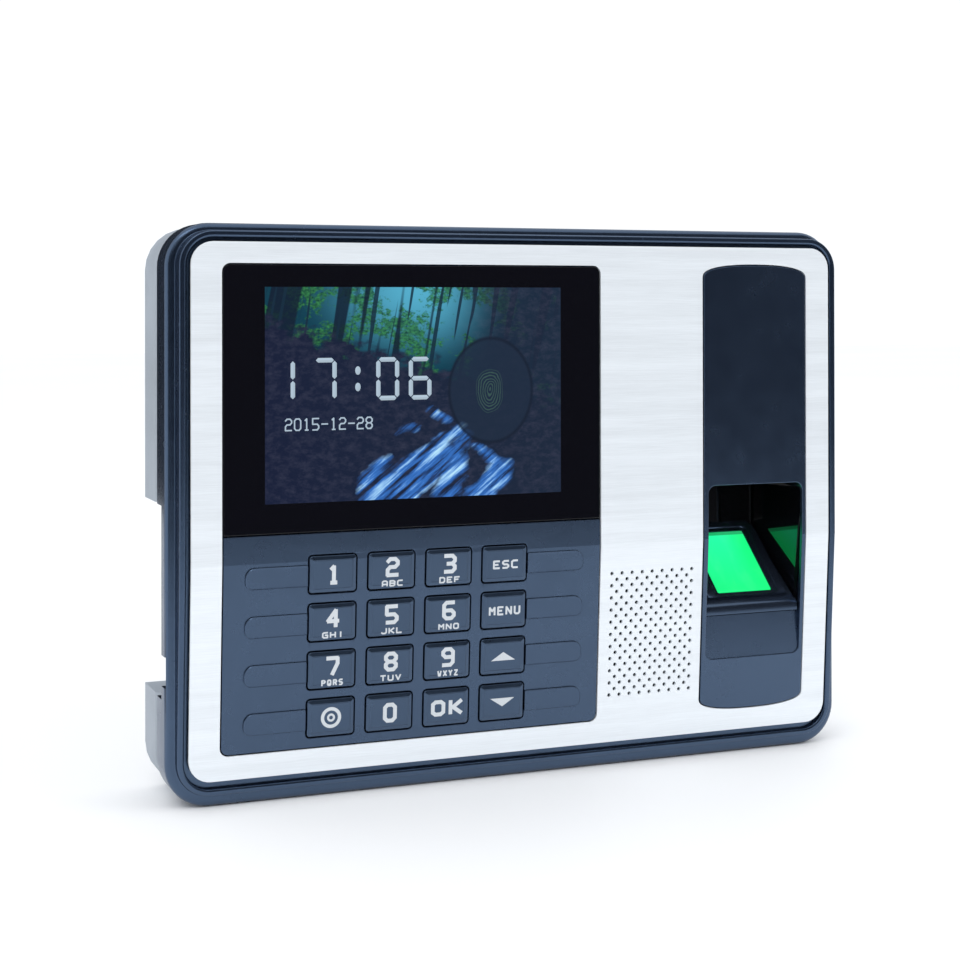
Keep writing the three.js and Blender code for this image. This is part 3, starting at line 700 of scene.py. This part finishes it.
def strokes(bm, text, width, height, place, thick):
    """Adds square letters that fill a width and a height. Each bar is a hair higher than the last."""
    gap = 0.55 * thick + 0.09 * width / len(text)
    rise = INK
    each = (width - gap * (len(text) - 1)) / len(text)
    for i, letter in enumerate(text):
        left = -width / 2 + i * (each + gap) + thick / 2
        for stroke in GLYPHS[letter]:
            points = [
                Vector((left + int(x) / 4 * (each - thick), (int(z) / 6 - 0.5) * (height - thick)))
                for x, z in stroke.split()
            ]
            for a, b in zip(points, points[1:]):
                along = (b - a).normalized() * thick / 2
                across = Vector((-along.y, along.x))
                start, stop = a - along * BAR_END, b + along * BAR_END
                bar = [start - across, stop - across, stop + across, start + across]
                rise += BAR_RISE
                prism(bm, [tuple(corner) for corner in bar], place, rise)


def prism(bm, outline, place, ink=INK):
    """A thin raised shape of (x, z) points, convex."""
    loft(bm, [[place(x, z, -0.02) for x, z in outline], [place(x, z, ink) for x, z in outline]])


def ring(bm, outer, inner, place):
    profile = [(outer, -0.02), (outer, INK), (inner, INK), (inner, -0.02)]
    turns = full_turn(40)
    loft(bm, [[place(r * cos(t), r * sin(t), up) for t in turns] for r, up in profile], closed=True)


def key_cap(node):
    """A key with a gently sloping border round a flat top, and the flange that keeps it in."""
    k = key_frame(node)
    top = k["front"] + INK
    outline = rectangle(k["width"], k["height"], KEY["radius"], k["x"], k["along"], 5)
    flange = rectangle(k["width"] + KEY["flange"], KEY["flange_height"], 0.3, k["x"], k["along"], 5)
    profile = [(0, 2.2), (0, top + 0.55), (0.05, top + 0.42), (0.18, top + 0.33), (0.9, top + 0.16)]
    profile += [(1.0, top + 0.03), (1.08, top)]
    bm = bmesh.new()
    loops = [face_outline(flange, 0, 3.0), face_outline(flange, 0, 2.2)]
    loft(bm, loops + [face_outline(outline, -inset, depth) for inset, depth in profile])
    return piece(node + "_cap", bm, M["key"], node, "key_plastic", node)


def key_legend(node):
    k = key_frame(node)
    top = k["front"] + INK

    def place_from(x0, z0):
        return lambda x, z, up: on_face(k["x"] + x0 + x, k["along"] + z0 + z, top - up)

    bm = bmesh.new()
    main = node.removeprefix("key_").upper()
    small = LETTERS.get(main, "")
    if main == "POWER":
        ring(bm, 2.43, 1.65, place_from(0, 0))
        ring(bm, 0.95, 0.45, place_from(0, 0))
    elif main in ("UP", "DOWN"):
        point = 1 if main == "UP" else -1
        corners = [(-3.1, -point), (3.1, -point), (0, point)]
        prism(bm, corners[::point], place_from(0, 0))
    else:
        size = WORD_SIZES.get(main, DIGIT_SIZE)
        thick = 0.92 if size[1] > 3 else 0.46
        strokes(bm, main, *size, place_from(0.1, 0.85 if small else -0.1), thick)
        if small:
            strokes(bm, small, *LETTER_SIZE, place_from(0.1, -2.95), 0.36)
    return piece(node + "_legend", bm, M["ink"], node, "key_plastic")


# ---- the screen ------------------------------------------------------------------------
SCREEN_X = middle("lcd_module", 0)
SCREEN_Z = middle("lcd_module", 2)
PICTURE = {"width": 73.3, "height": 49.2, "front": 0.06}
BADGE = {"u": 0.752, "v": 0.505, "across": 0.148, "up": 0.257}  # middle and radii, as shares


def picture_place(u, v, up):
    """A point on the picture: u from its left edge and v from its top, as shares, and up in millimetres."""
    x = SCREEN_X + (u - 0.5) * PICTURE["width"]
    z = SCREEN_Z + (0.5 - v) * PICTURE["height"]
    return upright(x, z, PICTURE["front"] - up)


def segment_distance(s, point, a, b):
    """Nodes for the distance from a point to the line from a to b, in the picture's shares."""
    along = Vector((b[0] - a[0], b[1] - a[1], 0))
    start = s.vector("SUBTRACT", point, (a[0], a[1], 0))
    share = s.math("DIVIDE", s.vector("DOT_PRODUCT", start, along), along.length_squared, clamp=True)
    away = s.vector("SUBTRACT", start, s.vector("SCALE", along, scale=share))
    return s.vector("LENGTH", away), share


def picture_material():
    """A lit woodland at dusk: trees at the top, dark ground, and a stream in the foreground."""
    s = Shader("screen_picture")
    width, height = PICTURE["width"], PICTURE["height"]
    corner = (0.5 - SCREEN_X / width, 0, 0.5 - SCREEN_Z / height)
    split = s.node("SeparateXYZ", {0: s.mapped(s.coords, corner, (1 / width / MM, 1, 1 / height / MM))})
    u, v = split.outputs[0], split.outputs[2]
    flat = s.node("CombineXYZ", {0: u, 1: v}).outputs[0]

    # dark ground, bluer on the left and teal on the right
    ground = s.mix(s.spread(u, 0, 1, 0, 1), (0.007, 0.012, 0.036), (0.010, 0.020, 0.042))
    mottle = s.noise(26, detail=8, rough=0.7, coords=flat)
    ground = s.mix(s.spread(mottle, 0, 0.8, 0.45, 0.75), ground, (0.04, 0.045, 0.08))

    # light between the trees, brightest above the middle
    glow = s.spread(s.vector("DISTANCE", flat, (0.50, 1.0, 0)), 1, 0, 0.0, 0.42, True)
    haze = s.mix(glow, (0.003, 0.045, 0.075), (0.09, 0.42, 0.60))
    leaves = s.noise(34, stretch=(1, 0.8, 1), detail=8, rough=0.75, coords=flat)
    dapple = s.spread(s.noise(90, detail=4, coords=flat), 0, 1)
    leaf = s.mix(dapple, (0.002, 0.030, 0.022), (0.045, 0.26, 0.07))
    crowns = s.noise(7, stretch=(1, 0.8, 1), detail=3, coords=flat)
    dense = s.spread(s.math("SUBTRACT", crowns, s.math("MULTIPLY", u, 0.12)), 0.14, -0.12, 0.32, 0.54)
    cover = s.spread(s.math("SUBTRACT", leaves, dense), 0, 0.9, 0.53, 0.61)
    forest = s.mix(cover, haze, leaf)

    # trunks, thin and leaning to the right
    slanted = s.math("SUBTRACT", u, s.math("MULTIPLY", v, 0.12))
    for scale, edge, tone in ((17, 0.57, (0.004, 0.012, 0.028)), (46, 0.60, (0.006, 0.024, 0.045))):
        inputs = {0: slanted, 1: s.math("MULTIPLY", v, 0.03), 2: float(scale)}
        trunks = s.noise(scale, detail=1, coords=s.node("CombineXYZ", inputs).outputs[0])
        forest = s.mix(s.spread(trunks, 0, 0.92, edge, edge + 0.03), forest, tone)

    # the forest ends on a ragged bank that falls to the right, and fades at the far right
    bank = s.math("MULTIPLY_ADD", u, -0.40, 0.83)
    ragged = s.math("ADD", bank, s.spread(s.noise(20, detail=7, coords=flat), -0.07, 0.07))
    above = s.spread(s.math("SUBTRACT", v, ragged), 0, 1, -0.02, 0.05)
    fade = s.spread(u, 1, 0.1, 0.56, 0.82, True)
    scene = s.mix(s.math("MULTIPLY", above, fade), ground, forest)

    # the stream: each run is a line, a width at its start and a width at its end
    runs = [
        ((0.655, 0.34), (0.47, 0.13), 0.012, 0.065),
        ((0.62, 0.22), (0.40, 0.02), 0.03, 0.10),
        ((0.66, 0.30), (0.60, 0.02), 0.015, 0.05),
        ((0.69, 0.24), (0.80, 0.14), 0.015, 0.03),
        ((0.80, 0.14), (0.72, 0.0), 0.04, 0.06),
        ((0.39, 0.20), (0.34, 0.08), 0.02, 0.035),
        ((0.34, 0.03), (0.46, 0.0), 0.04, 0.05),
        ((0.55, 0.42), (0.59, 0.36), 0.012, 0.02),
        ((0.43, 0.31), (0.48, 0.33), 0.008, 0.015),
    ]
    wobble = s.node("TexNoise", {"Vector": flat, "Scale": 11.0, "Detail": 5.0}).outputs["Color"]
    shifted = s.vector("SCALE", s.vector("SUBTRACT", wobble, (0.5, 0.5, 0.5)), scale=0.09)
    point = s.vector("MULTIPLY", s.vector("ADD", flat, shifted), (1, 1, 0))
    water = None
    for a, b, near, far in runs:
        distance, share = segment_distance(s, point, a, b)
        width = s.spread(share, near, far, 0, 1)
        inside = s.spread(s.math("SUBTRACT", width, distance), 0, 1, -0.008, 0.014)
        water = inside if water is None else s.math("MAXIMUM", water, inside)
    flow = s.node("VectorRotate", {"Vector": flat, "Angle": radians(-50)}, rotation_type="Z_AXIS")
    strands = s.noise(30, stretch=(0.1, 1, 1), detail=7, rough=0.62, coords=flow.outputs[0])
    foam = s.mix(s.spread(strands, 0, 1, 0.36, 0.62), (0.004, 0.016, 0.10), (0.06, 0.26, 0.80))
    foam = s.mix(s.spread(strands, 0, 1, 0.53, 0.66), foam, (0.50, 0.82, 1.0))
    scene = s.mix(s.math("MULTIPLY", water, s.spread(strands, 0.0, 1, 0.40, 0.48)), scene, foam)

    # a round dark badge with the lines of a fingertip
    across, up = BADGE["across"], BADGE["up"]
    badge = s.mapped(flat, (-BADGE["u"] / across, -BADGE["v"] / up, 0), (1 / across, 1 / up, 1))
    radius = s.vector("LENGTH", badge)
    disc = s.spread(radius, 0.85, 0, 0.97, 1.02)
    scene = s.mix(disc, scene, (0.012, 0.024, 0.048))
    rim = s.math("MULTIPLY", s.spread(radius, 0, 1, 0.92, 0.97), s.spread(radius, 1, 0, 0.98, 1.03))
    scene = s.mix(s.math("MULTIPLY", rim, 0.6), scene, (0.004, 0.008, 0.018))
    tip = s.mapped(badge, (0.08, -0.02, 0), (3.0, 2.3, 1))
    rings = s.vector("LENGTH", s.vector("ADD", tip, s.vector("SCALE", shifted, scale=6.0)))
    ridges = s.math("SINE", s.math("MULTIPLY", rings, 42))
    mark = s.math("MULTIPLY", s.spread(ridges, 0, 1, 0.1, 0.7), s.spread(rings, 1, 0, 0.85, 1.0))
    scene = s.mix(s.math("MULTIPLY", mark, 0.7), scene, (0.05, 0.11, 0.09))
    return s.finish(
        Base_Color=(0.003, 0.003, 0.005),
        Roughness=s.spread(s.noise(2600, detail=6), 0.04, 0.08, 0.5, 0.8),
        IOR=1.42,
        Emission_Color=scene,
        Emission_Strength=1.0,
    )


def lit_material(name, color):
    """Lit marks on the screen, brighter where their bevels face up."""
    s = Shader(name)
    facing = s.vector("DOT_PRODUCT", s.node("NewGeometry").outputs["Normal"], (-0.35, -0.5, 0.75))
    tone = s.mix(s.spread(facing, 0, 1, 0.1, 0.9), scaled(color, 0.22), color)
    tone = s.mix(s.spread(s.noise(3000), 0, 0.15), tone, (0.3, 0.4, 0.5))
    base = (0.02, 0.02, 0.02)
    return s.finish(Base_Color=base, Roughness=0.3, Emission_Color=tone, Emission_Strength=1.0)


SEGMENT_BARS = {  # the usual letters: a at the top, b to f clockwise from it, and g in the middle
    "a": ((-0.5, 0.5), (0.5, 0.5)),
    "b": ((0.5, 0), (0.5, 0.5)),
    "c": ((0.5, -0.5), (0.5, 0)),
    "d": ((-0.5, -0.5), (0.5, -0.5)),
    "e": ((-0.5, -0.5), (-0.5, 0)),
    "f": ((-0.5, 0), (-0.5, 0.5)),
    "g": ((-0.5, 0), (0.5, 0)),
}
SEGMENTS_OF = {"0": "adfbec", "1": "bc", "6": "agdfec", "7": "abc"}
CLOCK = {"digits": "1706", "right_edges": (0.096, 0.231, 0.438, 0.547), "top": 0.33, "bottom": 0.533}
CLOCK_DIGIT = {"width": 5.65, "bar": 1.05}


def clock_bar(bm, a, b, half, place):
    """One bar of a digit: pointed ends, and sides that slope up to a ridge."""
    along = Vector((b[0] - a[0], b[1] - a[1]))
    length = along.length
    along /= length
    across = Vector((-along.y, along.x))
    ends = [(0.15, 0), (half + 0.15, -half), (length - half - 0.15, -half), (length - 0.15, 0)]
    ends += [(length - half - 0.15, half), (half + 0.15, half)]
    first, last = half + 0.25, length - half - 0.25
    tip = half * 0.9 + 0.15
    inner = [(tip, 0), (first, -0.02), (last, -0.02), (length - tip, 0), (last, 0.02), (first, 0.02)]

    def points(outline, up):
        return [place(*(Vector(a) + along * s + across * t), up) for s, t in outline]

    loft(bm, [points(ends, -0.02), points(ends, 0.004), points(inner, 0.05)])


def clock():
    bm = bmesh.new()
    height = (CLOCK["bottom"] - CLOCK["top"]) * PICTURE["height"]
    bar = CLOCK_DIGIT["bar"]
    middle = (CLOCK["top"] + CLOCK["bottom"]) / 2
    across, down = CLOCK_DIGIT["width"] - bar, height - bar
    for digit, right in zip(CLOCK["digits"], CLOCK["right_edges"]):
        centre = picture_place(right, middle, 0) - Vector((CLOCK_DIGIT["width"] / 2, 0, 0))
        for segment in SEGMENTS_OF[digit]:
            (ax, az), (bx, bz) = SEGMENT_BARS[segment]
            a, b = (ax * across, az * down), (bx * across, bz * down)
            clock_bar(bm, a, b, bar / 2, lambda x, z, up: centre + Vector((x, -up, z)))
    for share in (0.30, 0.68):
        dot = picture_place(0.3005, CLOCK["top"] + share * (CLOCK["bottom"] - CLOCK["top"]), 0)
        turns = full_turn(16)
        profile = [(0.66, -0.02), (0.66, 0.004), (0.4, 0.04)]
        loft(bm, [[dot + Vector((r * cos(t), -up, 1.5 * r * sin(t))) for t in turns] for r, up in profile])
    lit = lit_material("screen_digits", (0.66, 0.84, 1.0))
    piece("clock_digits", bm, lit, "terminal", "screen_glass", angle=20)
    bm = bmesh.new()
    date = picture_place(0.206, 0.637, 0)
    strokes(bm, "2015-12-28", 21.0, 2.9, lambda x, z, up: date + Vector((x, -up, z)), 0.32)
    piece("date_digits", bm, lit, "terminal", "screen_glass")


def screen():
    picture = rectangle(PICTURE["width"], PICTURE["height"], 0.05, SCREEN_X, SCREEN_Z, 2)
    bm = bmesh.new()
    sheet(bm, picture, [], PICTURE["front"], 0.15, 0.01)
    piece("screen_picture", bm, picture_material(), "terminal", "screen_glass")
    clock()


# ---- the fingerprint sensor ------------------------------------------------------------
RECESS = {"left": 47.8, "right": 74.8, "top": 2.1, "bottom": -41.5, "radius": 2.0, "back": 21.9}
NOSE = {"front": 1.8, "bottom": -30.6}
PLATEN = {"x": middle("sensor_platen", 0), "width": 15.4, "length": 20.0}
PLATEN_NEAR = (4.9, -25.5)  # depth and height of its lower edge
SLOPE = radians(41.6)


def on_slope(x, along, above):
    """A point on the finger window's slope."""
    depth = PLATEN_NEAR[0] + along * cos(SLOPE) - above * sin(SLOPE)
    return upright(PLATEN["x"] + x, PLATEN_NEAR[1] + along * sin(SLOPE) + above * cos(SLOPE), depth)


def sensor_column():
    opening = span(RECESS["left"], RECESS["right"], RECESS["bottom"], RECESS["top"], RECESS["radius"])
    bm = bmesh.new()
    sheet(bm, column_outline, [opening], -0.2, 0.8, 0.2)
    bend(bm)
    # the ramp under the nose, and the sides that join it to the face
    left, right = RECESS["left"] - 0.4, RECESS["right"] + 0.4
    foot = RECESS["bottom"] - 0.4
    ramp = [(2.5, NOSE["bottom"] - 0.3), (2.0, foot), (3.0, foot), (3.5, NOSE["bottom"] - 0.3)]
    loft(bm, [[upright(x, z, depth) for depth, z in ramp] for x in (left, right)])
    for x0 in (RECESS["left"] - 1, RECESS["right"]):
        wall = [(0.7, NOSE["bottom"]), (3.6, NOSE["bottom"]), (3.6, foot), (0.7, foot)]
        loft(bm, [[leaned(x, z, depth) for depth, z in wall] for x in (x0, x0 + 1)])
    top = RECESS["bottom"]
    shelf = [(0.7, top), (2.6, top), (2.6, top - 1), (0.7, top - 1)]
    loft(bm, [[leaned(x, z, depth) for depth, z in shelf] for x in (RECESS["left"], RECESS["right"])])
    piece("sensor_column", bm, M["cover"], "terminal", "satin_black", "sensor_trim")


TRAY_FRONT = 0.85
TRAY_TAPER = 1.9  # how far each side wall comes in from the front to the back


def wall_at(depth):
    """How far the recess's side walls have come in at a depth."""
    return TRAY_TAPER * max(0.0, depth - TRAY_FRONT) / (RECESS["back"] - TRAY_FRONT)


def sensor_tray():
    low_z = NOSE["bottom"] - 0.3
    corners = (0.1, 0.1, RECESS["radius"], RECESS["radius"])
    inner = span(RECESS["left"], RECESS["right"], low_z, RECESS["top"], corners)
    middle = (RECESS["left"] + RECESS["right"]) / 2
    front, back, under_nose = TRAY_FRONT, RECESS["back"], 4.6
    bm = bmesh.new()
    loops = [(1, back + 1), (1, front + 1.5), (1, front), (0, front)]
    loops += [(0, back - 1.2), (-0.4, back - 0.3), (-1.2, back)]
    rings = []
    for grow, depth in loops:
        ring_points = []
        for x, z in inner(grow):
            x -= wall_at(depth) * (1 if x > middle else -1)
            ring_points.append(upright(x, z, max(depth, under_nose) if z < low_z + 0.5 else depth))
        rings.append(ring_points)
    loft(bm, rings)
    piece("sensor_tray", bm, M["tray"], "terminal", "gloss_black", "sensor_trim")


def sensor_housing():
    """The block under the window, a raised frame round the window, and the nose below it."""
    nose_top = on_slope(0, -(PLATEN_NEAR[0] - NOSE["front"]) / cos(SLOPE), 0).z
    back_z = on_slope(0, (RECESS["back"] - 0.4 - PLATEN_NEAR[0]) / cos(SLOPE), 0).z
    front, back, bottom = NOSE["front"], RECESS["back"] - 0.4, NOSE["bottom"]
    bm = bmesh.new()
    block = [(front, bottom), (back, bottom), (back, back_z - 0.9)]
    block += [(front + 1.6, nose_top + 0.75), (front + 0.7, nose_top + 0.3)]
    block += [(front + 0.15, nose_top - 0.55), (front, nose_top - 0.8)]
    sides = []
    for edge, sign in ((RECESS["left"] + GAP, 1), (RECESS["right"] - GAP, -1)):
        sides.append([upright(edge + sign * wall_at(depth), z, depth) for depth, z in block])
    loft(bm, sides)
    piece("sensor_block", bm, M["housing"], "terminal", "gloss_black", "sensor_housing")

    inner = rectangle(PLATEN["width"] + 0.3, PLATEN["length"] + 0.3, 0.4, 0, PLATEN["length"] / 2, 4)
    step, width, lift = 1.0, 4.0, 0.4
    loops = [(0.0, -1.6), (0.0, -0.1), (0.1, 0.0), (step, 0.02)]
    loops += [(step + 0.12, lift - 0.16), (step + 0.3, lift - 0.02), (step + 0.5, lift)]
    loops += [(width - 0.6, lift), (width - 0.3, lift - 0.06), (width - 0.08, lift - 0.25)]
    loops += [(width, lift - 0.6), (width, -1.6)]
    bm = bmesh.new()
    rings = []
    for grow, above in loops:
        # the frame is narrower below the window, where the nose begins
        points = [(a, max(b, -1.7)) for a, b in inner(grow)]
        rings.append([on_slope(a, b, above) for a, b in points])
    loft(bm, rings, closed=True)
    piece("window_frame", bm, M["housing"], "terminal", "gloss_black")


def platen_material():
    s = Shader("green_platen")
    split = s.node("SeparateXYZ", {0: s.coords})
    height = s.spread(split.outputs[2], 0, 1, (PLATEN_NEAR[1] + 1) * MM, (PLATEN_NEAR[1] + 12) * MM)
    glow = s.mix(height, (0.008, 0.80, 0.19), (0.02, 1.0, 0.38))
    side = s.spread(split.outputs[0], 0, 1, (PLATEN["x"] + 1) * MM, (PLATEN["x"] + 6) * MM)
    glow = s.mix(s.math("MULTIPLY", side, 0.75), glow, (0.005, 0.90, 0.17))
    far_edge = PLATEN_NEAR[1] + PLATEN["length"] * sin(SLOPE)
    band = s.spread(split.outputs[2], 0, 1, (far_edge - 0.95) * MM, (far_edge - 0.75) * MM)
    glow = s.mix(band, glow, (0.012, 0.38, 0.12))
    smear = s.noise(140, stretch=(1, 0.5, 0.5), detail=5)
    glow = s.mix(s.spread(smear, 0, 0.12, 0.5, 0.75), glow, (0.25, 1.0, 0.6))
    return s.finish(
        Base_Color=(0.01, 0.2, 0.08),
        Roughness=s.spread(smear, 0.03, 0.12, 0.45, 0.8),
        Emission_Color=glow,
        Emission_Strength=1.0,
    )


def sensor_platen():
    outline = rectangle(PLATEN["width"], PLATEN["length"], 0.3, 0, PLATEN["length"] / 2, 3)
    profile = [(0, -3), (0, -0.35), (0.1, -0.1), (0.35, 0)]
    bm = bmesh.new()
    loft(bm, [[on_slope(a, b, above) for a, b in outline(-inset)] for inset, above in profile])
    piece("finger_window", bm, platen_material(), "terminal", "green_glass", "sensor_platen")


# ---- CAD nodes that stay as they are ---------------------------------------------------
MATERIAL_OF_SLOT = {
    "satin_black": "cover",
    "textured_case": "case",
    "black_plastic": "black",
    "circuit_board": "board",
    "silicone": "rubber",
    "cable_film": "film",
    "steel": "steel",
    "screen_glass": "black",
    "gloss_black": "tray",
}
BEVELS = {"rear_case": 0.35, "usb_port": 0.1, "dc_jack": 0.2}
AS_CUT = ("wall_plate",)  # sheet metal whose large faces have holes, shown with its edges as cut


def smoothing_group():
    """Geometry nodes that shade a mesh smooth but for its sharp edges."""
    group = bpy.data.node_groups.new("smooth_by_angle", "GeometryNodeTree")
    group.interface.new_socket("Geometry", in_out="INPUT", socket_type="NodeSocketGeometry")
    group.interface.new_socket("Geometry", in_out="OUTPUT", socket_type="NodeSocketGeometry")
    start, end = group.nodes.new("NodeGroupInput"), group.nodes.new("NodeGroupOutput")
    faces = group.nodes.new("GeometryNodeSetShadeSmooth")
    edges = group.nodes.new("GeometryNodeSetShadeSmooth")
    edges.domain = "EDGE"
    edges.inputs["Shade Smooth"].default_value = False
    angle = group.nodes.new("GeometryNodeInputMeshEdgeAngle")
    sharp = group.nodes.new("FunctionNodeCompare")
    sharp.operation = "GREATER_THAN"
    sharp.inputs[1].default_value = radians(32)
    for a, b in (
        (start.outputs[0], faces.inputs["Geometry"]),
        (faces.outputs[0], edges.inputs["Geometry"]),
        (angle.outputs[0], sharp.inputs[0]),
        (sharp.outputs[0], edges.inputs["Selection"]),
        (edges.outputs[0], end.inputs[0]),
    ):
        group.links.new(a, b)
    return group


def dress_cad_nodes():
    group = smoothing_group()
    slots = {part["node"]: part["material_slot"] for part in frame["record"]["subparts"]}
    for name, node in frame["nodes"].items():
        if node.hide_render:
            continue
        node.data.materials.clear()
        node.data.materials.append(M[MATERIAL_OF_SLOT[slots[name]]])
        weld = node.modifiers.new("weld", "WELD")
        weld.merge_threshold = 0.001 * MM
        if name not in AS_CUT:
            flat = node.modifiers.new("flat_faces", "DECIMATE")
            flat.decimate_type = "DISSOLVE"
            flat.angle_limit = radians(0.5)
        if name in BEVELS:
            bevel = node.modifiers.new("edges", "BEVEL")
            bevel.width = BEVELS[name] * MM
            bevel.segments = 2
            bevel.limit_method = "ANGLE"
            bevel.angle_limit = radians(30)
            bevel.miter_outer = "MITER_ARC"
        smooth = node.modifiers.new("smooth", "NODES")
        smooth.node_group = group
        if name not in AS_CUT:
            weighted = node.modifiers.new("even_normals", "WEIGHTED_NORMAL")
            weighted.keep_sharp = True


# ---- floor, light and camera -----------------------------------------------------------
CAMERA = {"place": (-172.1, -424.9, 46.8), "yaw": 21.88, "pitch": -0.24, "roll": 0.085}
LENS = {"length": 67.42, "drop": 0.188}  # drop: how far the picture is shifted down, as a share
CARD_TOP = 420


def floor():
    s = Shader("pale_floor")
    cloud = s.noise(3, detail=5)
    tone = s.mix(s.spread(cloud, 0, 1), (0.93, 0.94, 0.95), (0.96, 0.96, 0.97))
    material = s.finish(Base_Color=tone, Roughness=0.6, Normal=s.bump(s.noise(900), 0.05, 0.3))
    bm = bmesh.new()
    bmesh.ops.create_grid(bm, x_segments=8, y_segments=8, size=4000)
    for v in bm.verts:
        v.co.z = CAD_BOX[0].z / MM - 0.2
    made = add_object("floor", mesh_of(bm, "floor"))
    made.data.materials.append(material)


def dark_card(name, distance, first, last, base):
    """A curved dark card seen only in reflections. Its ends are degrees round from the front."""
    s = Shader(name)
    tone = s.mix(s.spread(s.noise(5), 0, 1), (0.012, 0.014, 0.018), (0.02, 0.022, 0.026))
    material = s.finish(Base_Color=tone, Roughness=1.0)
    bm = bmesh.new()
    turns = [radians(a) for a in range(first, last + 1, 5)]
    rows = [[Vector((distance * sin(t), -distance * cos(t), z)) for t in turns] for z in (base, CARD_TOP)]
    verts = [[bm.verts.new(p) for p in row] for row in rows]
    for i in range(len(turns) - 1):
        bm.faces.new((verts[0][i], verts[0][i + 1], verts[1][i + 1], verts[1][i]))
    made = add_object(name, mesh_of(bm, name))
    made.data.materials.append(material)
    made.visible_camera = False
    made.visible_diffuse = False
    made.visible_shadow = False
    made.visible_transmission = False


def area_light(name, place, size, power):
    """A soft light turned to the middle of the part."""
    light = bpy.data.lights.new(name, "AREA")
    light.shape = "RECTANGLE"
    light.size, light.size_y = size
    light.energy = power
    made = add_object(name, light)
    made.location = Vector(place)
    made.rotation_mode = "QUATERNION"
    made.rotation_quaternion = (-Vector(place)).to_track_quat("-Z", "Y")


def lights():
    world = bpy.data.worlds.new("studio")
    world.use_nodes = True
    world.node_tree.nodes["Background"].inputs[0].default_value = (0.96, 0.98, 1.0, 1.0)
    world.node_tree.nodes["Background"].inputs[1].default_value = 1.08
    bpy.context.scene.world = world
    area_light("key", (-0.7, -0.9, 1.1), (0.9, 0.9), 7.0)
    area_light("fill", (0.9, -0.7, 0.5), (0.5, 0.9), 2.0)
    bpy.context.scene.view_settings.view_transform = "Standard"


def camera():
    data = bpy.data.cameras.new("camera")
    data.lens = LENS["length"]
    data.sensor_width = 36
    data.shift_y = -LENS["drop"]
    data.clip_start = 0.01
    made = add_object("camera", data)
    yaw, pitch = radians(CAMERA["yaw"]), radians(CAMERA["pitch"])
    aim = Vector((sin(yaw) * cos(pitch), cos(yaw) * cos(pitch), -sin(pitch)))
    made.location = Vector(CAMERA["place"]) * MM
    made.rotation_mode = "QUATERNION"
    made.rotation_quaternion = Quaternion(aim, radians(CAMERA["roll"])) @ aim.to_track_quat("-Z", "Y")
    bpy.context.scene.camera = made


camera()
front_cover()
cover_wall()
face_plate()
display_window()
keypad_panel()
for key in KEYS:
    key_cap(key)
    key_legend(key)
screen()
sensor_column()
sensor_tray()
sensor_housing()
sensor_platen()
dress_cad_nodes()
floor()
dark_card("front_card", 400, -60, 75, CAD_BOX[0].z / MM + 1)
dark_card("side_card", 400, -190, -125, CAD_BOX[0].z / MM + 22)
lights()
